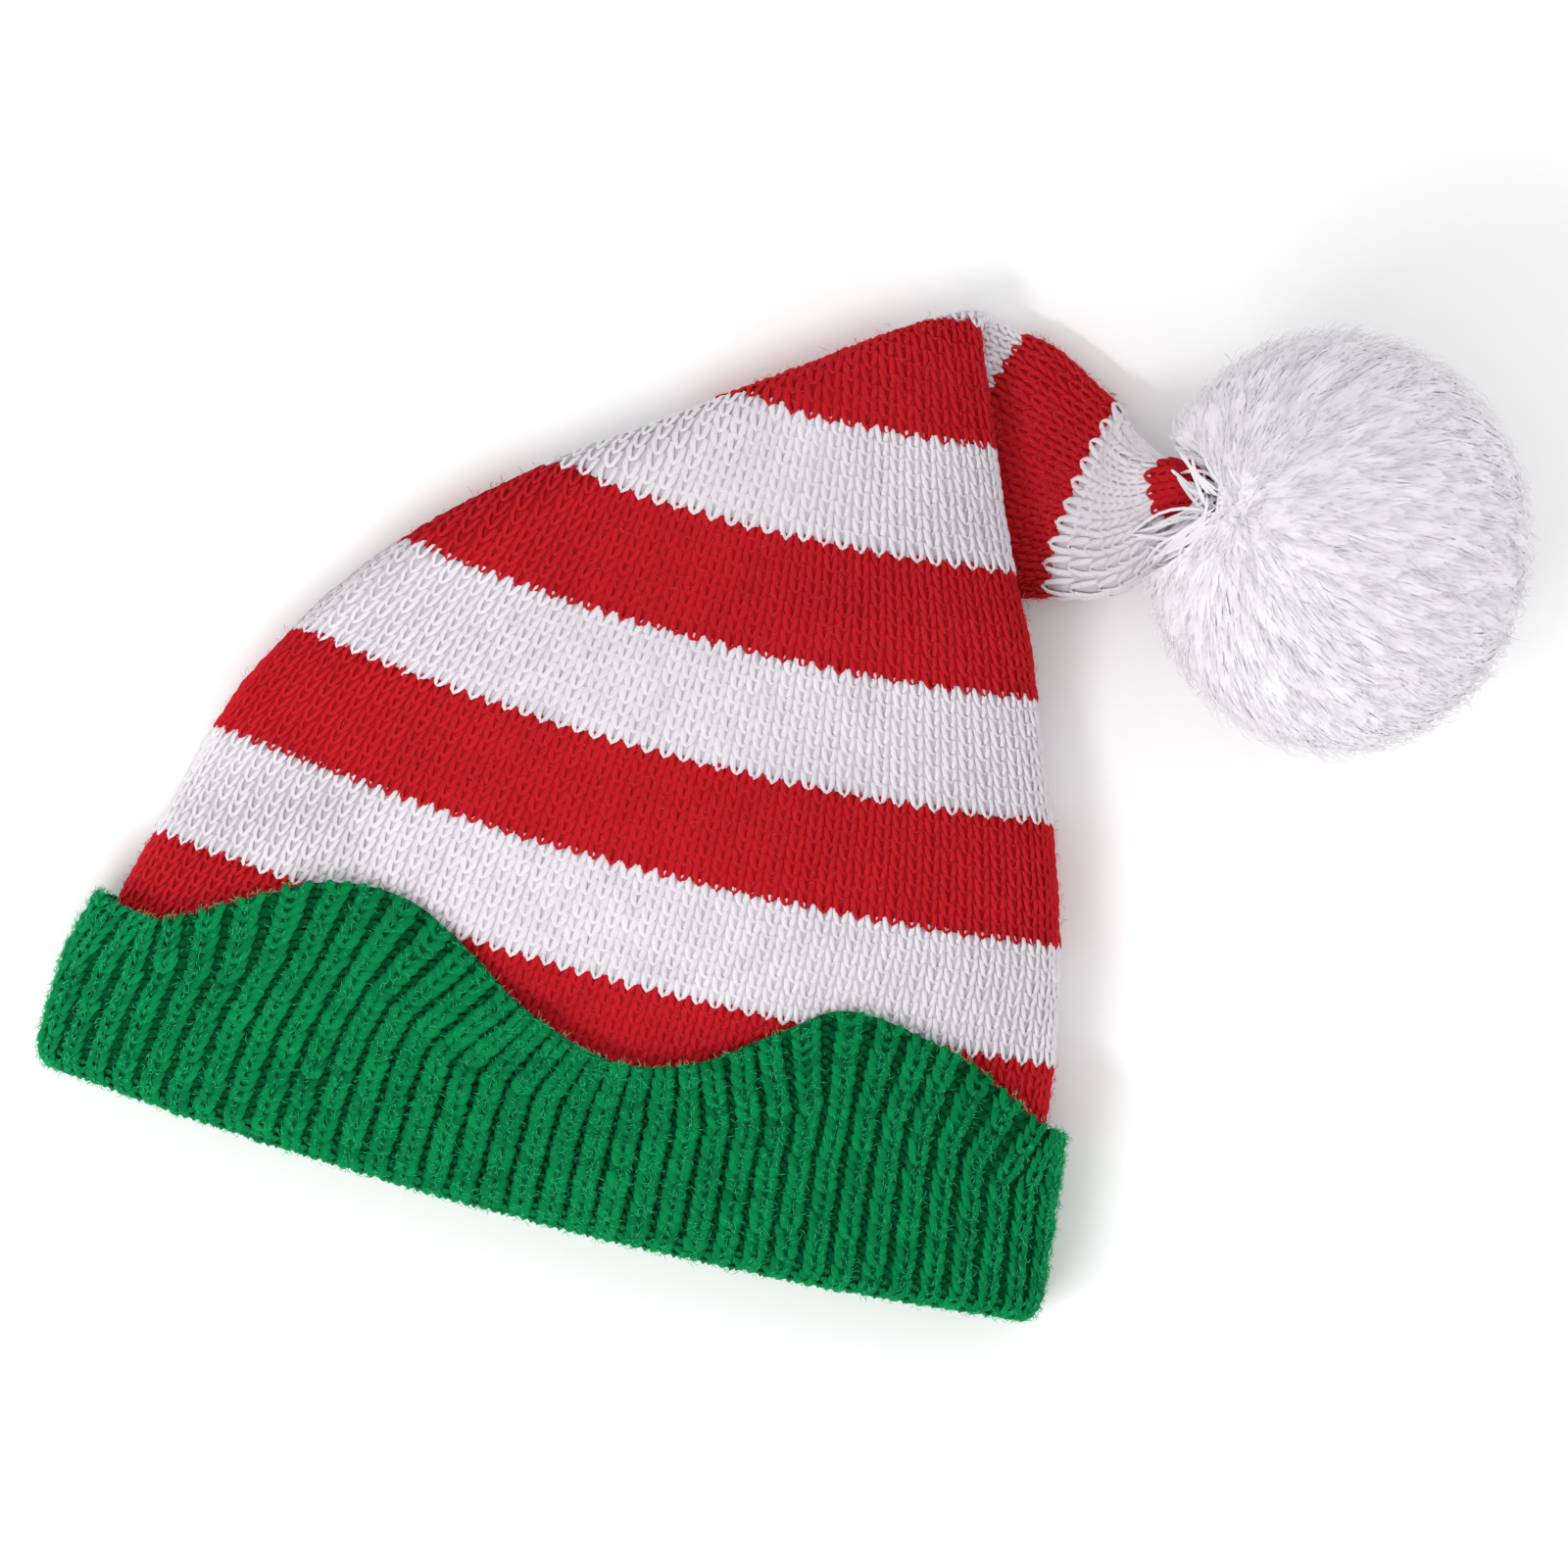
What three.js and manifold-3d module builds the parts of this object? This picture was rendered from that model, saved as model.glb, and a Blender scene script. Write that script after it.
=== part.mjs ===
// A knitted santa hat that lies on a table: a striped cone with a ribbed, turned-up cuff and a yarn pompom.
// The cone lies flat, its tip hangs over behind along a slanting fold and comes out at the right.
import * as THREE from "three";
import { mergeVertices } from "three/addons/utils/BufferGeometryUtils.js";
import Module from "manifold-3d";

// Driving sizes in millimetres. Before the last shift, x runs across the mouth, y from the mouth to the tip
// and z up from the table, and along is a row's distance from the mouth, counted over the knitting.
const KNIT_WALL = 2.6;
const RIB_WALL = 3.2;
const PIECE_GAP = 0.3;
const STRIPE_GAP = 0.5;
const FLAT_PLACE = 83;

// The crown laid flat, a row for each section: its two side edges, how far its underside lies off the table,
// its height, the extra height of the tip's round end, and how far its middle sags towards the mouth.
const CROWN_SECTIONS = [
  { along: 32, left: -109.6, right: 108.2, under: 4.2, height: 30.0, puff: 0, sag: 6.5 },
  { along: 44, left: -107.1, right: 107.6, under: 4.2, height: 30.0, puff: 0, sag: 6.5 },
  { along: 58, left: -103.3, right: 106.1, under: 4.1, height: 30.4, puff: 0, sag: 6.6 },
  { along: 66, left: -101.4, right: 104.7, under: 3.2, height: 31.8, puff: 0, sag: 6.7 },
  { along: 76, left: -99.0, right: 102.8, under: 0.7, height: 34.3, puff: 0, sag: 6.8 },
  { along: 83, left: -96.8, right: 100.8, under: 0, height: 34.8, puff: 0, sag: 7.0 },
  { along: 94, left: -93.2, right: 97.5, under: 0, height: 34.5, puff: 0, sag: 7.0 },
  { along: 112, left: -85.8, right: 91.2, under: 0, height: 32.0, puff: 0, sag: 7.0 },
  { along: 130, left: -77.5, right: 84.0, under: 0, height: 29.0, puff: 0, sag: 6.5 },
  { along: 148, left: -69.0, right: 76.8, under: 0, height: 26.0, puff: 0, sag: 6.0 },
  { along: 166, left: -60.0, right: 67.8, under: 0, height: 22.0, puff: 0, sag: 5.0 },
  { along: 190, left: -48.5, right: 57.7, under: 0, height: 16.0, puff: 0, sag: 4.0 },
  { along: 216, left: -37.0, right: 47.0, under: 0, height: 10.0, puff: 0, sag: 3.0 },
  { along: 242, left: -29.0, right: 36.0, under: 0, height: 8.4, puff: 0, sag: 2.5 },
  { along: 267, left: -19.5, right: 25.5, under: 0, height: 8.4, puff: 2.5, sag: 2.0 },
  { along: 281, left: -11.5, right: 19.5, under: 0, height: 8.4, puff: 5.0, sag: 1.5 },
  { along: 294, left: -4.0, right: 11.5, under: 0, height: 8.4, puff: 4.5, sag: 1.0 },
  { along: 305, left: -3.0, right: 9.5, under: 0, height: 8.4, puff: 3.0, sag: 0.5 },
  { along: 316, left: -1.0, right: 6.5, under: 0, height: 8.0, puff: 0, sag: 0 },
];
const TOP_ROUNDING = 2.8;
const UNDER_ROUNDING = 5;
const WAIST = 0.35;
const EVEN_WAIST = 0.5;
const FLATTENING = 0.1;
const GIRTH_FINE_STEPS = 720;

// The stripes from the cuff to the tip. rows and around are the steps that each is made in,
// up the cone and round it.
const STRIPES = [
  { name: "stripe_red_1", yarn: "red", end: 57.5, rows: 2, around: 36 },
  { name: "stripe_white_1", yarn: "white", end: 83.75, rows: 2, around: 36 },
  { name: "stripe_red_2", yarn: "red", end: 110, rows: 2, around: 36 },
  { name: "stripe_white_2", yarn: "white", end: 136.25, rows: 3, around: 36 },
  { name: "stripe_red_3", yarn: "red", end: 162.5, rows: 4, around: 36 },
  { name: "stripe_white_3", yarn: "white", end: 188.75, rows: 4, around: 36 },
  { name: "stripe_red_4", yarn: "red", end: 215, rows: 5, around: 36 },
  { name: "stripe_white_4", yarn: "white", end: 238, rows: 4, around: 36 },
  { name: "stripe_red_5", yarn: "red", end: 264.5, rows: 3, around: 28 },
  { name: "stripe_white_5", yarn: "white", end: 295, rows: 4, around: 24 },
  { name: "stripe_red_6", yarn: "red", end: 316, rows: 2, around: 20 },
];
const CROWN_START = 32;

// Soft dents in the crown's front: the middle of each, the way it runs, and its size.
const DENTS = [
  { x: 22, y: 184, heading: 110, length: 26, width: 12, depth: 1.8 },
  { x: -30, y: 128, heading: 40, length: 40, width: 16, depth: 1.6 },
  { x: 52, y: 108, heading: 150, length: 44, width: 15, depth: 1.4 },
  { x: -62, y: 88, heading: 70, length: 30, width: 14, depth: 1.4 },
];

// The fold where the tip hangs over: a point on it, its slant, and the thickness of the flat tube there.
// The fold stands out from its straight line by the offsets below, along its run from that point.
const FOLD_POINT = { x: 47, y: 217 };
const FOLD_SLANT = THREE.MathUtils.degToRad(36.1);
const FOLD_THICK = 8.4;
const FOLD_INSIDE = 2;
const FOLD_MIDDLE_LAYER = 6.6;
const FOLD_SOFT_START = 12;
const FOLD_SOFT_END = 67;
const FOLD_ROUND_END = 30;
const FOLD_LINE = [
  { run: -175, offset: -6 },
  { run: -157, offset: -1 },
  { run: -141, offset: 2.4 },
  { run: -122, offset: 4.5 },
  { run: -100, offset: 5.2 },
  { run: -75, offset: 4.6 },
  { run: -8, offset: 4.2 },
  { run: 30, offset: 4.2 },
];

// The crown rises over the folded tip on one side of a line from the fold's left end,
// and a little more at the fold.
const RISE_POINT = { x: -92, y: 104 };
const RISE_SLANT = THREE.MathUtils.degToRad(16.5);
const RISE_WIDTH = 36;
const RISE_GAP = 1.4;
const FOLD_LOFT_WIDTH = 45;

// The folded tip is swung a little about a pivot and then climbs the pompom's side.
const SWING = THREE.MathUtils.degToRad(12);
const SWING_PIVOT = { x: 7.5, y: 204 };
const SWING_START = 9.4;
const SWING_END = 42;
const CLIMB_POINT = { x: 70, y: 187 };
const CLIMB = [
  { run: 0, heading: -10, pitch: 0 },
  { run: 12, heading: -8, pitch: 22 },
  { run: 22, heading: 16, pitch: 56 },
  { run: 36, heading: 28, pitch: 58 },
  { run: 50, heading: 5, pitch: 35 },
  { run: 64, heading: -12, pitch: 10 },
];
const CLIMB_STEP = 0.5;
const CLIMB_REACH = 96;

// The cuff: its side edges, its height off the table, and the wavy upper edge round the hat,
// where turn is the share of the girth from the right edge over the front.
const CUFF_SECTIONS = [
  { along: 0, left: -115.5, right: 115.5 },
  { along: 4, left: -116.8, right: 116.8 },
  { along: 16, left: -117, right: 115.9 },
  { along: 28, left: -116.2, right: 114.6 },
  { along: 40, left: -113, right: 113.2 },
  { along: 52, left: -109.5, right: 111.4 },
  { along: 62, left: -107, right: 110.3 },
];
const CUFF_HEIGHT = 38.5;
const CUFF_SAG = 6.5;
const CUFF_EDGE = [
  { turn: 0, along: 43 },
  { turn: 0.024, along: 45 },
  { turn: 0.058, along: 54.2 },
  { turn: 0.085, along: 59.2 },
  { turn: 0.13, along: 62.6 },
  { turn: 0.16, along: 54.5 },
  { turn: 0.195, along: 43.8 },
  { turn: 0.232, along: 40 },
  { turn: 0.282, along: 47 },
  { turn: 0.311, along: 54.6 },
  { turn: 0.351, along: 62.3 },
  { turn: 0.391, along: 60.6 },
  { turn: 0.424, along: 50.9 },
  { turn: 0.454, along: 40.6 },
  { turn: 0.473, along: 40.2 },
  { turn: 0.5, along: 41.2 },
  { turn: 0.53, along: 42 },
  { turn: 0.575, along: 53 },
  { turn: 0.62, along: 61 },
  { turn: 0.675, along: 54 },
  { turn: 0.715, along: 43.5 },
  { turn: 0.745, along: 41 },
  { turn: 0.775, along: 43.5 },
  { turn: 0.815, along: 54 },
  { turn: 0.87, along: 61 },
  { turn: 0.93, along: 53 },
  { turn: 0.97, along: 43.6 },
  { turn: 1, along: 43 },
];
const CUFF_LEG_GAP = 0.7;
const CUFF_INNER_LEG = 31.6;
const CUFF_TURN = 4;
const CUFF_LEG_GAP_END = 5;
const CUFF_EDGE_ROUNDING = 0.4;
const RIBS = 74;
const RIB_DEPTH = 0.9;
const RIB_BEND_SHARE = 0.68;
const RIB_BEND_SPAN = 0.01;

// The pompom: its middle, its half sizes, its turn about the upright, and the locks that stand out of its core.
const POMPOM = { x: 137, y: 187, z: 42, wide: 43.5, long: 47, high: 41, turn: 14.7 };
const CORE_SHARE = 0.84;
const CORE_DETAIL = 3;
const LOCKS = 40;
const LOCK_SIDES = 6;
const LOCK_ROOT = 11.5;
const LOCK_TIP = 7;
const LOCK_ROOT_SHARE = 0.6;
const TIE_CLEARANCE = 0.7;
const TIE_CONE = 0.8;
const SEAT_ROWS = 10;
const SEAT_STEPS = 24;
const WELD_DISTANCE = 0.001;

const YARNS = {
  red: new THREE.MeshStandardMaterial({ color: 0xb81f2a, roughness: 0.92, metalness: 0 }),
  white: new THREE.MeshStandardMaterial({ color: 0xe4e0e6, roughness: 0.92, metalness: 0 }),
  green: new THREE.MeshStandardMaterial({ color: 0x06763f, roughness: 0.94, metalness: 0 }),
};

const { clamp, degToRad, lerp, smoothstep } = THREE.MathUtils;
const TWO_PI = 2 * Math.PI;

// Reads a column of a table at any value of its key, on a smooth curve through the rows.
function columnAt(table, key, column, value) {
  const last = table.length - 1;
  const at = clamp(value, table[0][key], table[last][key]);
  let row = 0;
  while (row < last - 1 && table[row + 1][key] < at) {
    row += 1;
  }
  const slopeAt = (index) => {
    const before = table[Math.max(index - 1, 0)];
    const after = table[Math.min(index + 1, last)];
    return (after[column] - before[column]) / (after[key] - before[key]);
  };
  const here = table[row];
  const next = table[row + 1];
  const span = next[key] - here[key];
  const t = (at - here[key]) / span;
  const rise = t * t * (3 - 2 * t);
  const leave = t * (1 - t) * (1 - t) * span * slopeAt(row);
  const arrive = t * t * (t - 1) * span * slopeAt(row + 1);
  return lerp(here[column], next[column], rise) + leave + arrive;
}

const signedPower = (value, exponent) => Math.sign(value) * Math.abs(value) ** exponent;

// Where an angle round a flat-lying tube falls: across from -1 to 1, and up from -1 to 1.
// rounded goes from 0, a flattened underside, to 1, an underside as round as the top.
function loopPlace(angle, rounded) {
  const onTop = Math.sin(angle) >= 0;
  const across = signedPower(Math.cos(angle), 2 / (onTop ? TOP_ROUNDING : UNDER_ROUNDING));
  if (onTop) {
    return { across, up: Math.sin(angle) ** (2 / TOP_ROUNDING) };
  }
  const power = lerp(2 / UNDER_ROUNDING, 2 / TOP_ROUNDING, rounded);
  const pressed = (1 + FLATTENING * (1 - rounded)) * Math.abs(Math.sin(angle)) ** power;
  return { across, up: -Math.min(1, pressed) };
}

// The height of a place on the loop, for a tube of the given height whose wall lies depth under its outside.
function loopHeight(up, height, waist, depth) {
  if (up >= 0) {
    return waist + (height - depth - waist) * up;
  }
  return waist + (waist - depth) * up;
}

// Angles that divide the girth of a flat-lying tube into equal steps, from its right edge over its top.
function girthAngles(half, height, steps) {
  const lengths = [0];
  let before = null;
  for (let i = 0; i <= GIRTH_FINE_STEPS; i += 1) {
    const place = loopPlace((i / GIRTH_FINE_STEPS) * TWO_PI, 0);
    const point = new THREE.Vector2(half * place.across, loopHeight(place.up, height, WAIST * height, 0));
    if (before) {
      lengths.push(lengths[i - 1] + point.distanceTo(before));
    }
    before = point;
  }
  const angles = [];
  let index = 0;
  for (let step = 0; step < steps; step += 1) {
    const length = (step / steps) * lengths[GIRTH_FINE_STEPS];
    while (lengths[index + 1] <= length) {
      index += 1;
    }
    const part = (length - lengths[index]) / (lengths[index + 1] - lengths[index]);
    angles.push(((index + part) / GIRTH_FINE_STEPS) * TWO_PI);
  }
  return angles;
}

// How far a point of the flat cone lies past the fold: negative on the crown's side, positive on the tip's.
function distancePastFold(x, y) {
  const fromX = x - FOLD_POINT.x;
  const fromY = y - FOLD_POINT.y;
  const run = fromX * Math.cos(FOLD_SLANT) + fromY * Math.sin(FOLD_SLANT);
  const straight = fromY * Math.cos(FOLD_SLANT) - fromX * Math.sin(FOLD_SLANT);
  return straight - columnAt(FOLD_LINE, "run", "offset", run);
}

// How deep the soft dents press the crown's front at a point.
function dentDepth(x, y) {
  let depth = 0;
  for (const dent of DENTS) {
    const heading = degToRad(dent.heading);
    const lengthwise = (x - dent.x) * Math.cos(heading) + (y - dent.y) * Math.sin(heading);
    const sideways = (y - dent.y) * Math.cos(heading) - (x - dent.x) * Math.sin(heading);
    depth += dent.depth * Math.exp(-((lengthwise / dent.length) ** 2) - (sideways / dent.width) ** 2);
  }
  return depth;
}

const FOLD_OUTSIDE = FOLD_INSIDE + FOLD_THICK;
const FOLD_AXIS_HEIGHT = PIECE_GAP + FOLD_OUTSIDE;
const CROWN_RISE = PIECE_GAP + FOLD_THICK + RISE_GAP;
const FOLD_LOFT = FOLD_AXIS_HEIGHT + FOLD_INSIDE - CROWN_RISE;

// A point of the cone before it is folded, lying flat, with the crown risen where the tip lies under it.
function layFlat(along, angle, depth) {
  const at = (column) => columnAt(CROWN_SECTIONS, "along", column, along);
  const half = (at("right") - at("left")) / 2;
  const middle = (at("right") + at("left")) / 2;
  const across = loopPlace(angle, 0).across;
  const x = middle + (half - depth) * across;
  const share = (x - middle) / half;
  const y = along - at("sag") * (1 - share * share);
  const past = distancePastFold(x, y);
  const full = smoothstep(-past, FOLD_SOFT_START, FOLD_SOFT_END);
  const height = FOLD_THICK + (at("height") - FOLD_THICK) * full + at("puff");
  const rounded = smoothstep(past, -FOLD_SOFT_START, FOLD_ROUND_END);
  const waist = height * lerp(WAIST, EVEN_WAIST, rounded);
  const up = loopPlace(angle, rounded).up;
  const overTip = (y - RISE_POINT.y) * Math.cos(RISE_SLANT) - (x - RISE_POINT.x) * Math.sin(RISE_SLANT);
  const loft = FOLD_LOFT * smoothstep(past, -FOLD_LOFT_WIDTH, -FOLD_OUTSIDE);
  const rise = (CROWN_RISE + loft) * smoothstep(overTip, -RISE_WIDTH, 0);
  const dent = Math.max(up, 0) * full * dentDepth(x, y);
  const z = at("under") + rise + loopHeight(up, height, waist, depth) - dent;
  return { x, y, z, past, puff: at("puff") };
}

// Carries a flat point round the fold, so that what lies past it comes to lie under the crown.
function foldOver({ x, y, z, past, puff }) {
  const bent = past + FOLD_OUTSIDE;
  if (bent <= 0) {
    return { x, y, z, bent, puff };
  }
  const reach = Math.PI * FOLD_MIDDLE_LAYER;
  const turn = Math.min(bent / FOLD_MIDDLE_LAYER, Math.PI);
  const radius = z - FOLD_AXIS_HEIGHT;
  const back = -FOLD_OUTSIDE + radius * Math.sin(turn) - Math.max(bent - reach, 0);
  const move = back - past;
  return {
    x: x - move * Math.sin(FOLD_SLANT),
    y: y + move * Math.cos(FOLD_SLANT),
    z: FOLD_AXIS_HEIGHT + radius * Math.cos(turn) + (puff * turn) / Math.PI,
    bent,
    puff,
  };
}

// Swings the folded tip about its pivot.
function swingTip({ x, y, z, bent, puff }) {
  const swing = SWING * smoothstep(bent, SWING_START, SWING_END);
  const fromX = x - SWING_PIVOT.x;
  const fromY = y - SWING_PIVOT.y;
  return {
    x: SWING_PIVOT.x + fromX * Math.cos(swing) - fromY * Math.sin(swing),
    y: SWING_PIVOT.y + fromX * Math.sin(swing) + fromY * Math.cos(swing),
    z,
    bent,
    puff,
  };
}

// The line that the tip climbs along, as points with the heading and pitch at each.
function climbLine() {
  const line = [];
  const place = new THREE.Vector3();
  for (let run = 0; run <= CLIMB_REACH; run += CLIMB_STEP) {
    const heading = degToRad(columnAt(CLIMB, "run", "heading", run));
    const pitch = degToRad(columnAt(CLIMB, "run", "pitch", run));
    line.push({ place: place.clone(), heading, pitch });
    const level = CLIMB_STEP * Math.cos(pitch);
    place.x += level * Math.cos(heading);
    place.y += level * Math.sin(heading);
    place.z += CLIMB_STEP * Math.sin(pitch);
  }
  return line;
}
const CLIMB_LINE = climbLine();

// Bends the tip's end up the side of the pompom.
function climb({ x, y, z, bent, puff }) {
  const start = CLIMB_LINE[0].heading;
  const fromX = x - CLIMB_POINT.x;
  const fromY = y - CLIMB_POINT.y;
  const run = fromX * Math.cos(start) + fromY * Math.sin(start);
  if (run <= 0 || bent < (Math.PI / 2) * FOLD_MIDDLE_LAYER) {
    return new THREE.Vector3(x, y, z);
  }
  const sideways = fromY * Math.cos(start) - fromX * Math.sin(start);
  const level = PIECE_GAP + (FOLD_THICK + puff) / 2;
  const above = z - level;
  const step = Math.min(run / CLIMB_STEP, CLIMB_LINE.length - 2);
  const before = CLIMB_LINE[Math.floor(step)];
  const after = CLIMB_LINE[Math.floor(step) + 1];
  const part = step - Math.floor(step);
  const place = before.place.clone().lerp(after.place, part);
  const heading = lerp(before.heading, after.heading, part);
  const pitch = lerp(before.pitch, after.pitch, part);
  return new THREE.Vector3(
    CLIMB_POINT.x + place.x - sideways * Math.sin(heading) - above * Math.sin(pitch) * Math.cos(heading),
    CLIMB_POINT.y + place.y + sideways * Math.cos(heading) - above * Math.sin(pitch) * Math.sin(heading),
    level + place.z + above * Math.cos(pitch),
  );
}

// A point of the finished cone: along from the mouth, at an angle round the tube, depth under the outside.
function crownPoint(along, angle, depth) {
  const folded = foldOver(layFlat(along, angle, depth));
  return Object.assign(climb(swingTip(folded)), { bent: folded.bent });
}

// A ring of points round the cone.
function crownRing(along, depth, steps) {
  const at = (column) => columnAt(CROWN_SECTIONS, "along", column, along);
  const half = (at("right") - at("left")) / 2;
  const angles = girthAngles(half, at("height") + at("puff"), steps);
  return angles.map((angle) => crownPoint(along, angle, depth));
}

// A closed surface through rings of equally many points. The last ring joins the first,
// or, where it has ends, each end ring is closed by a point at its middle.
// Each cell is split along the diagonal whose ends are bent alike, which keeps a fold that crosses it whole.
function surfaceThrough(rings, hasEnds) {
  const count = rings[0].length;
  const points = rings.flat();
  const faces = [];
  const joins = hasEnds ? rings.length - 1 : rings.length;
  for (let ring = 0; ring < joins; ring += 1) {
    const here = ring * count;
    const next = ((ring + 1) % rings.length) * count;
    for (let i = 0; i < count; i += 1) {
      const j = (i + 1) % count;
      const rising = Math.abs(points[here + i].bent - points[next + j].bent);
      const falling = Math.abs(points[here + j].bent - points[next + i].bent);
      if (rising < falling) {
        faces.push(here + i, here + j, next + j);
        faces.push(here + i, next + j, next + i);
      } else {
        faces.push(here + i, here + j, next + i);
        faces.push(here + j, next + j, next + i);
      }
    }
  }
  if (hasEnds) {
    const middleOf = (ring) => {
      const sum = ring.reduce((total, point) => total.add(point), new THREE.Vector3());
      return sum.divideScalar(ring.length);
    };
    const lastRing = (rings.length - 1) * count;
    points.push(middleOf(rings[0]), middleOf(rings[rings.length - 1]));
    for (let i = 0; i < count; i += 1) {
      const j = (i + 1) % count;
      faces.push(points.length - 2, j, i);
      faces.push(points.length - 1, lastRing + i, lastRing + j);
    }
  }
  return facingOut(points, faces);
}

// Makes a geometry of points and triangles, turned so that its faces point outwards.
function facingOut(points, faces) {
  let volume = 0;
  for (let i = 0; i < faces.length; i += 3) {
    const [a, b, c] = [points[faces[i]], points[faces[i + 1]], points[faces[i + 2]]];
    volume += a.dot(new THREE.Vector3().crossVectors(b, c));
  }
  const geometry = new THREE.BufferGeometry().setFromPoints(points);
  geometry.setIndex(volume < 0 ? faces.reverse() : faces);
  geometry.computeVertexNormals();
  return geometry;
}

// One stripe of the cone: a hollow ring of knitting, or at the tip a small closed cup.
function stripeGeometry(start, stripe, isTip) {
  const from = start + STRIPE_GAP / 2;
  const to = stripe.end - STRIPE_GAP / 2;
  const outside = [];
  const inside = [];
  for (let row = 0; row <= stripe.rows; row += 1) {
    const along = lerp(from, to, row / stripe.rows);
    const innerEnd = isTip ? to - KNIT_WALL : to;
    outside.push(crownRing(along, 0, stripe.around));
    inside.push(crownRing(lerp(from, innerEnd, row / stripe.rows), KNIT_WALL, stripe.around));
  }
  if (isTip) {
    return surfaceThrough([...inside.reverse(), ...outside], true);
  }
  return surfaceThrough([...outside, ...inside.reverse()], false);
}

// A point of the cuff: turn is the share of the girth, along the distance from the mouth's edge.
function cuffPoint(turn, along, depth) {
  const left = columnAt(CUFF_SECTIONS, "along", "left", along);
  const right = columnAt(CUFF_SECTIONS, "along", "right", along);
  const half = (right - left) / 2;
  const place = loopPlace(cuffAngleAt(turn), 0);
  const across = (half - depth) * place.across;
  const y = along - CUFF_SAG * (1 - (across / half) ** 2);
  const z = loopHeight(place.up, CUFF_HEIGHT, WAIST * CUFF_HEIGHT, depth);
  return Object.assign(new THREE.Vector3((left + right) / 2 + across, y, z), { bent: 0 });
}

// The angle at a share of the cuff's girth.
const CUFF_STEPS = 2 * RIBS;
const CUFF_ANGLES = girthAngles(CUFF_SECTIONS[0].right, CUFF_HEIGHT, CUFF_STEPS);
function cuffAngleAt(turn) {
  const step = ((turn + 1) % 1) * CUFF_STEPS;
  const index = Math.floor(step);
  const next = index + 1 < CUFF_STEPS ? CUFF_ANGLES[index + 1] : TWO_PI;
  return lerp(CUFF_ANGLES[index], next, step - index);
}

// The cuff: knitted in ribs, turned up on itself, with an outer leg that ends in the wavy edge.
// Near that edge the ribs turn to stand square to it.
function cuffGeometry() {
  const girth = 2 * (CUFF_SECTIONS[0].right - CUFF_SECTIONS[0].left) + CUFF_HEIGHT;
  const edgeAt = (turn) => columnAt(CUFF_EDGE, "turn", "along", (turn + 1) % 1);
  const innerFace = RIB_WALL + CUFF_LEG_GAP;
  const inside = innerFace + RIB_WALL;
  const rows = [
    { share: 1, depth: CUFF_EDGE_ROUNDING, ribbed: true, leaning: true },
    { share: RIB_BEND_SHARE, depth: 0, ribbed: true },
    { along: CUFF_TURN, depth: 0, ribbed: true },
    { along: 0, depth: inside / 2 },
    { along: CUFF_TURN, depth: inside },
    { along: CUFF_INNER_LEG, depth: inside },
    { along: CUFF_INNER_LEG, depth: innerFace },
    { along: CUFF_LEG_GAP_END, depth: RIB_WALL + CUFF_LEG_GAP / 2 },
    { share: RIB_BEND_SHARE, depth: RIB_WALL },
    { share: 1, depth: RIB_WALL, leaning: true },
  ];
  const rings = rows.map((row) => {
    const ring = [];
    for (let step = 0; step < CUFF_STEPS; step += 1) {
      const turn = step / CUFF_STEPS;
      const rise = edgeAt(turn + RIB_BEND_SPAN) - edgeAt(turn - RIB_BEND_SPAN);
      const slope = rise / (2 * RIB_BEND_SPAN * girth);
      const lean = (slope * (1 - RIB_BEND_SHARE) * edgeAt(turn)) / girth;
      const along = row.share ? row.share * edgeAt(turn - lean) : row.along;
      const groove = row.ribbed && step % 2 === 1 ? RIB_DEPTH : 0;
      ring.push(cuffPoint(row.leaning ? turn - lean : turn, along, row.depth + groove));
    }
    return ring;
  });
  return surfaceThrough(rings, false);
}

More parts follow.
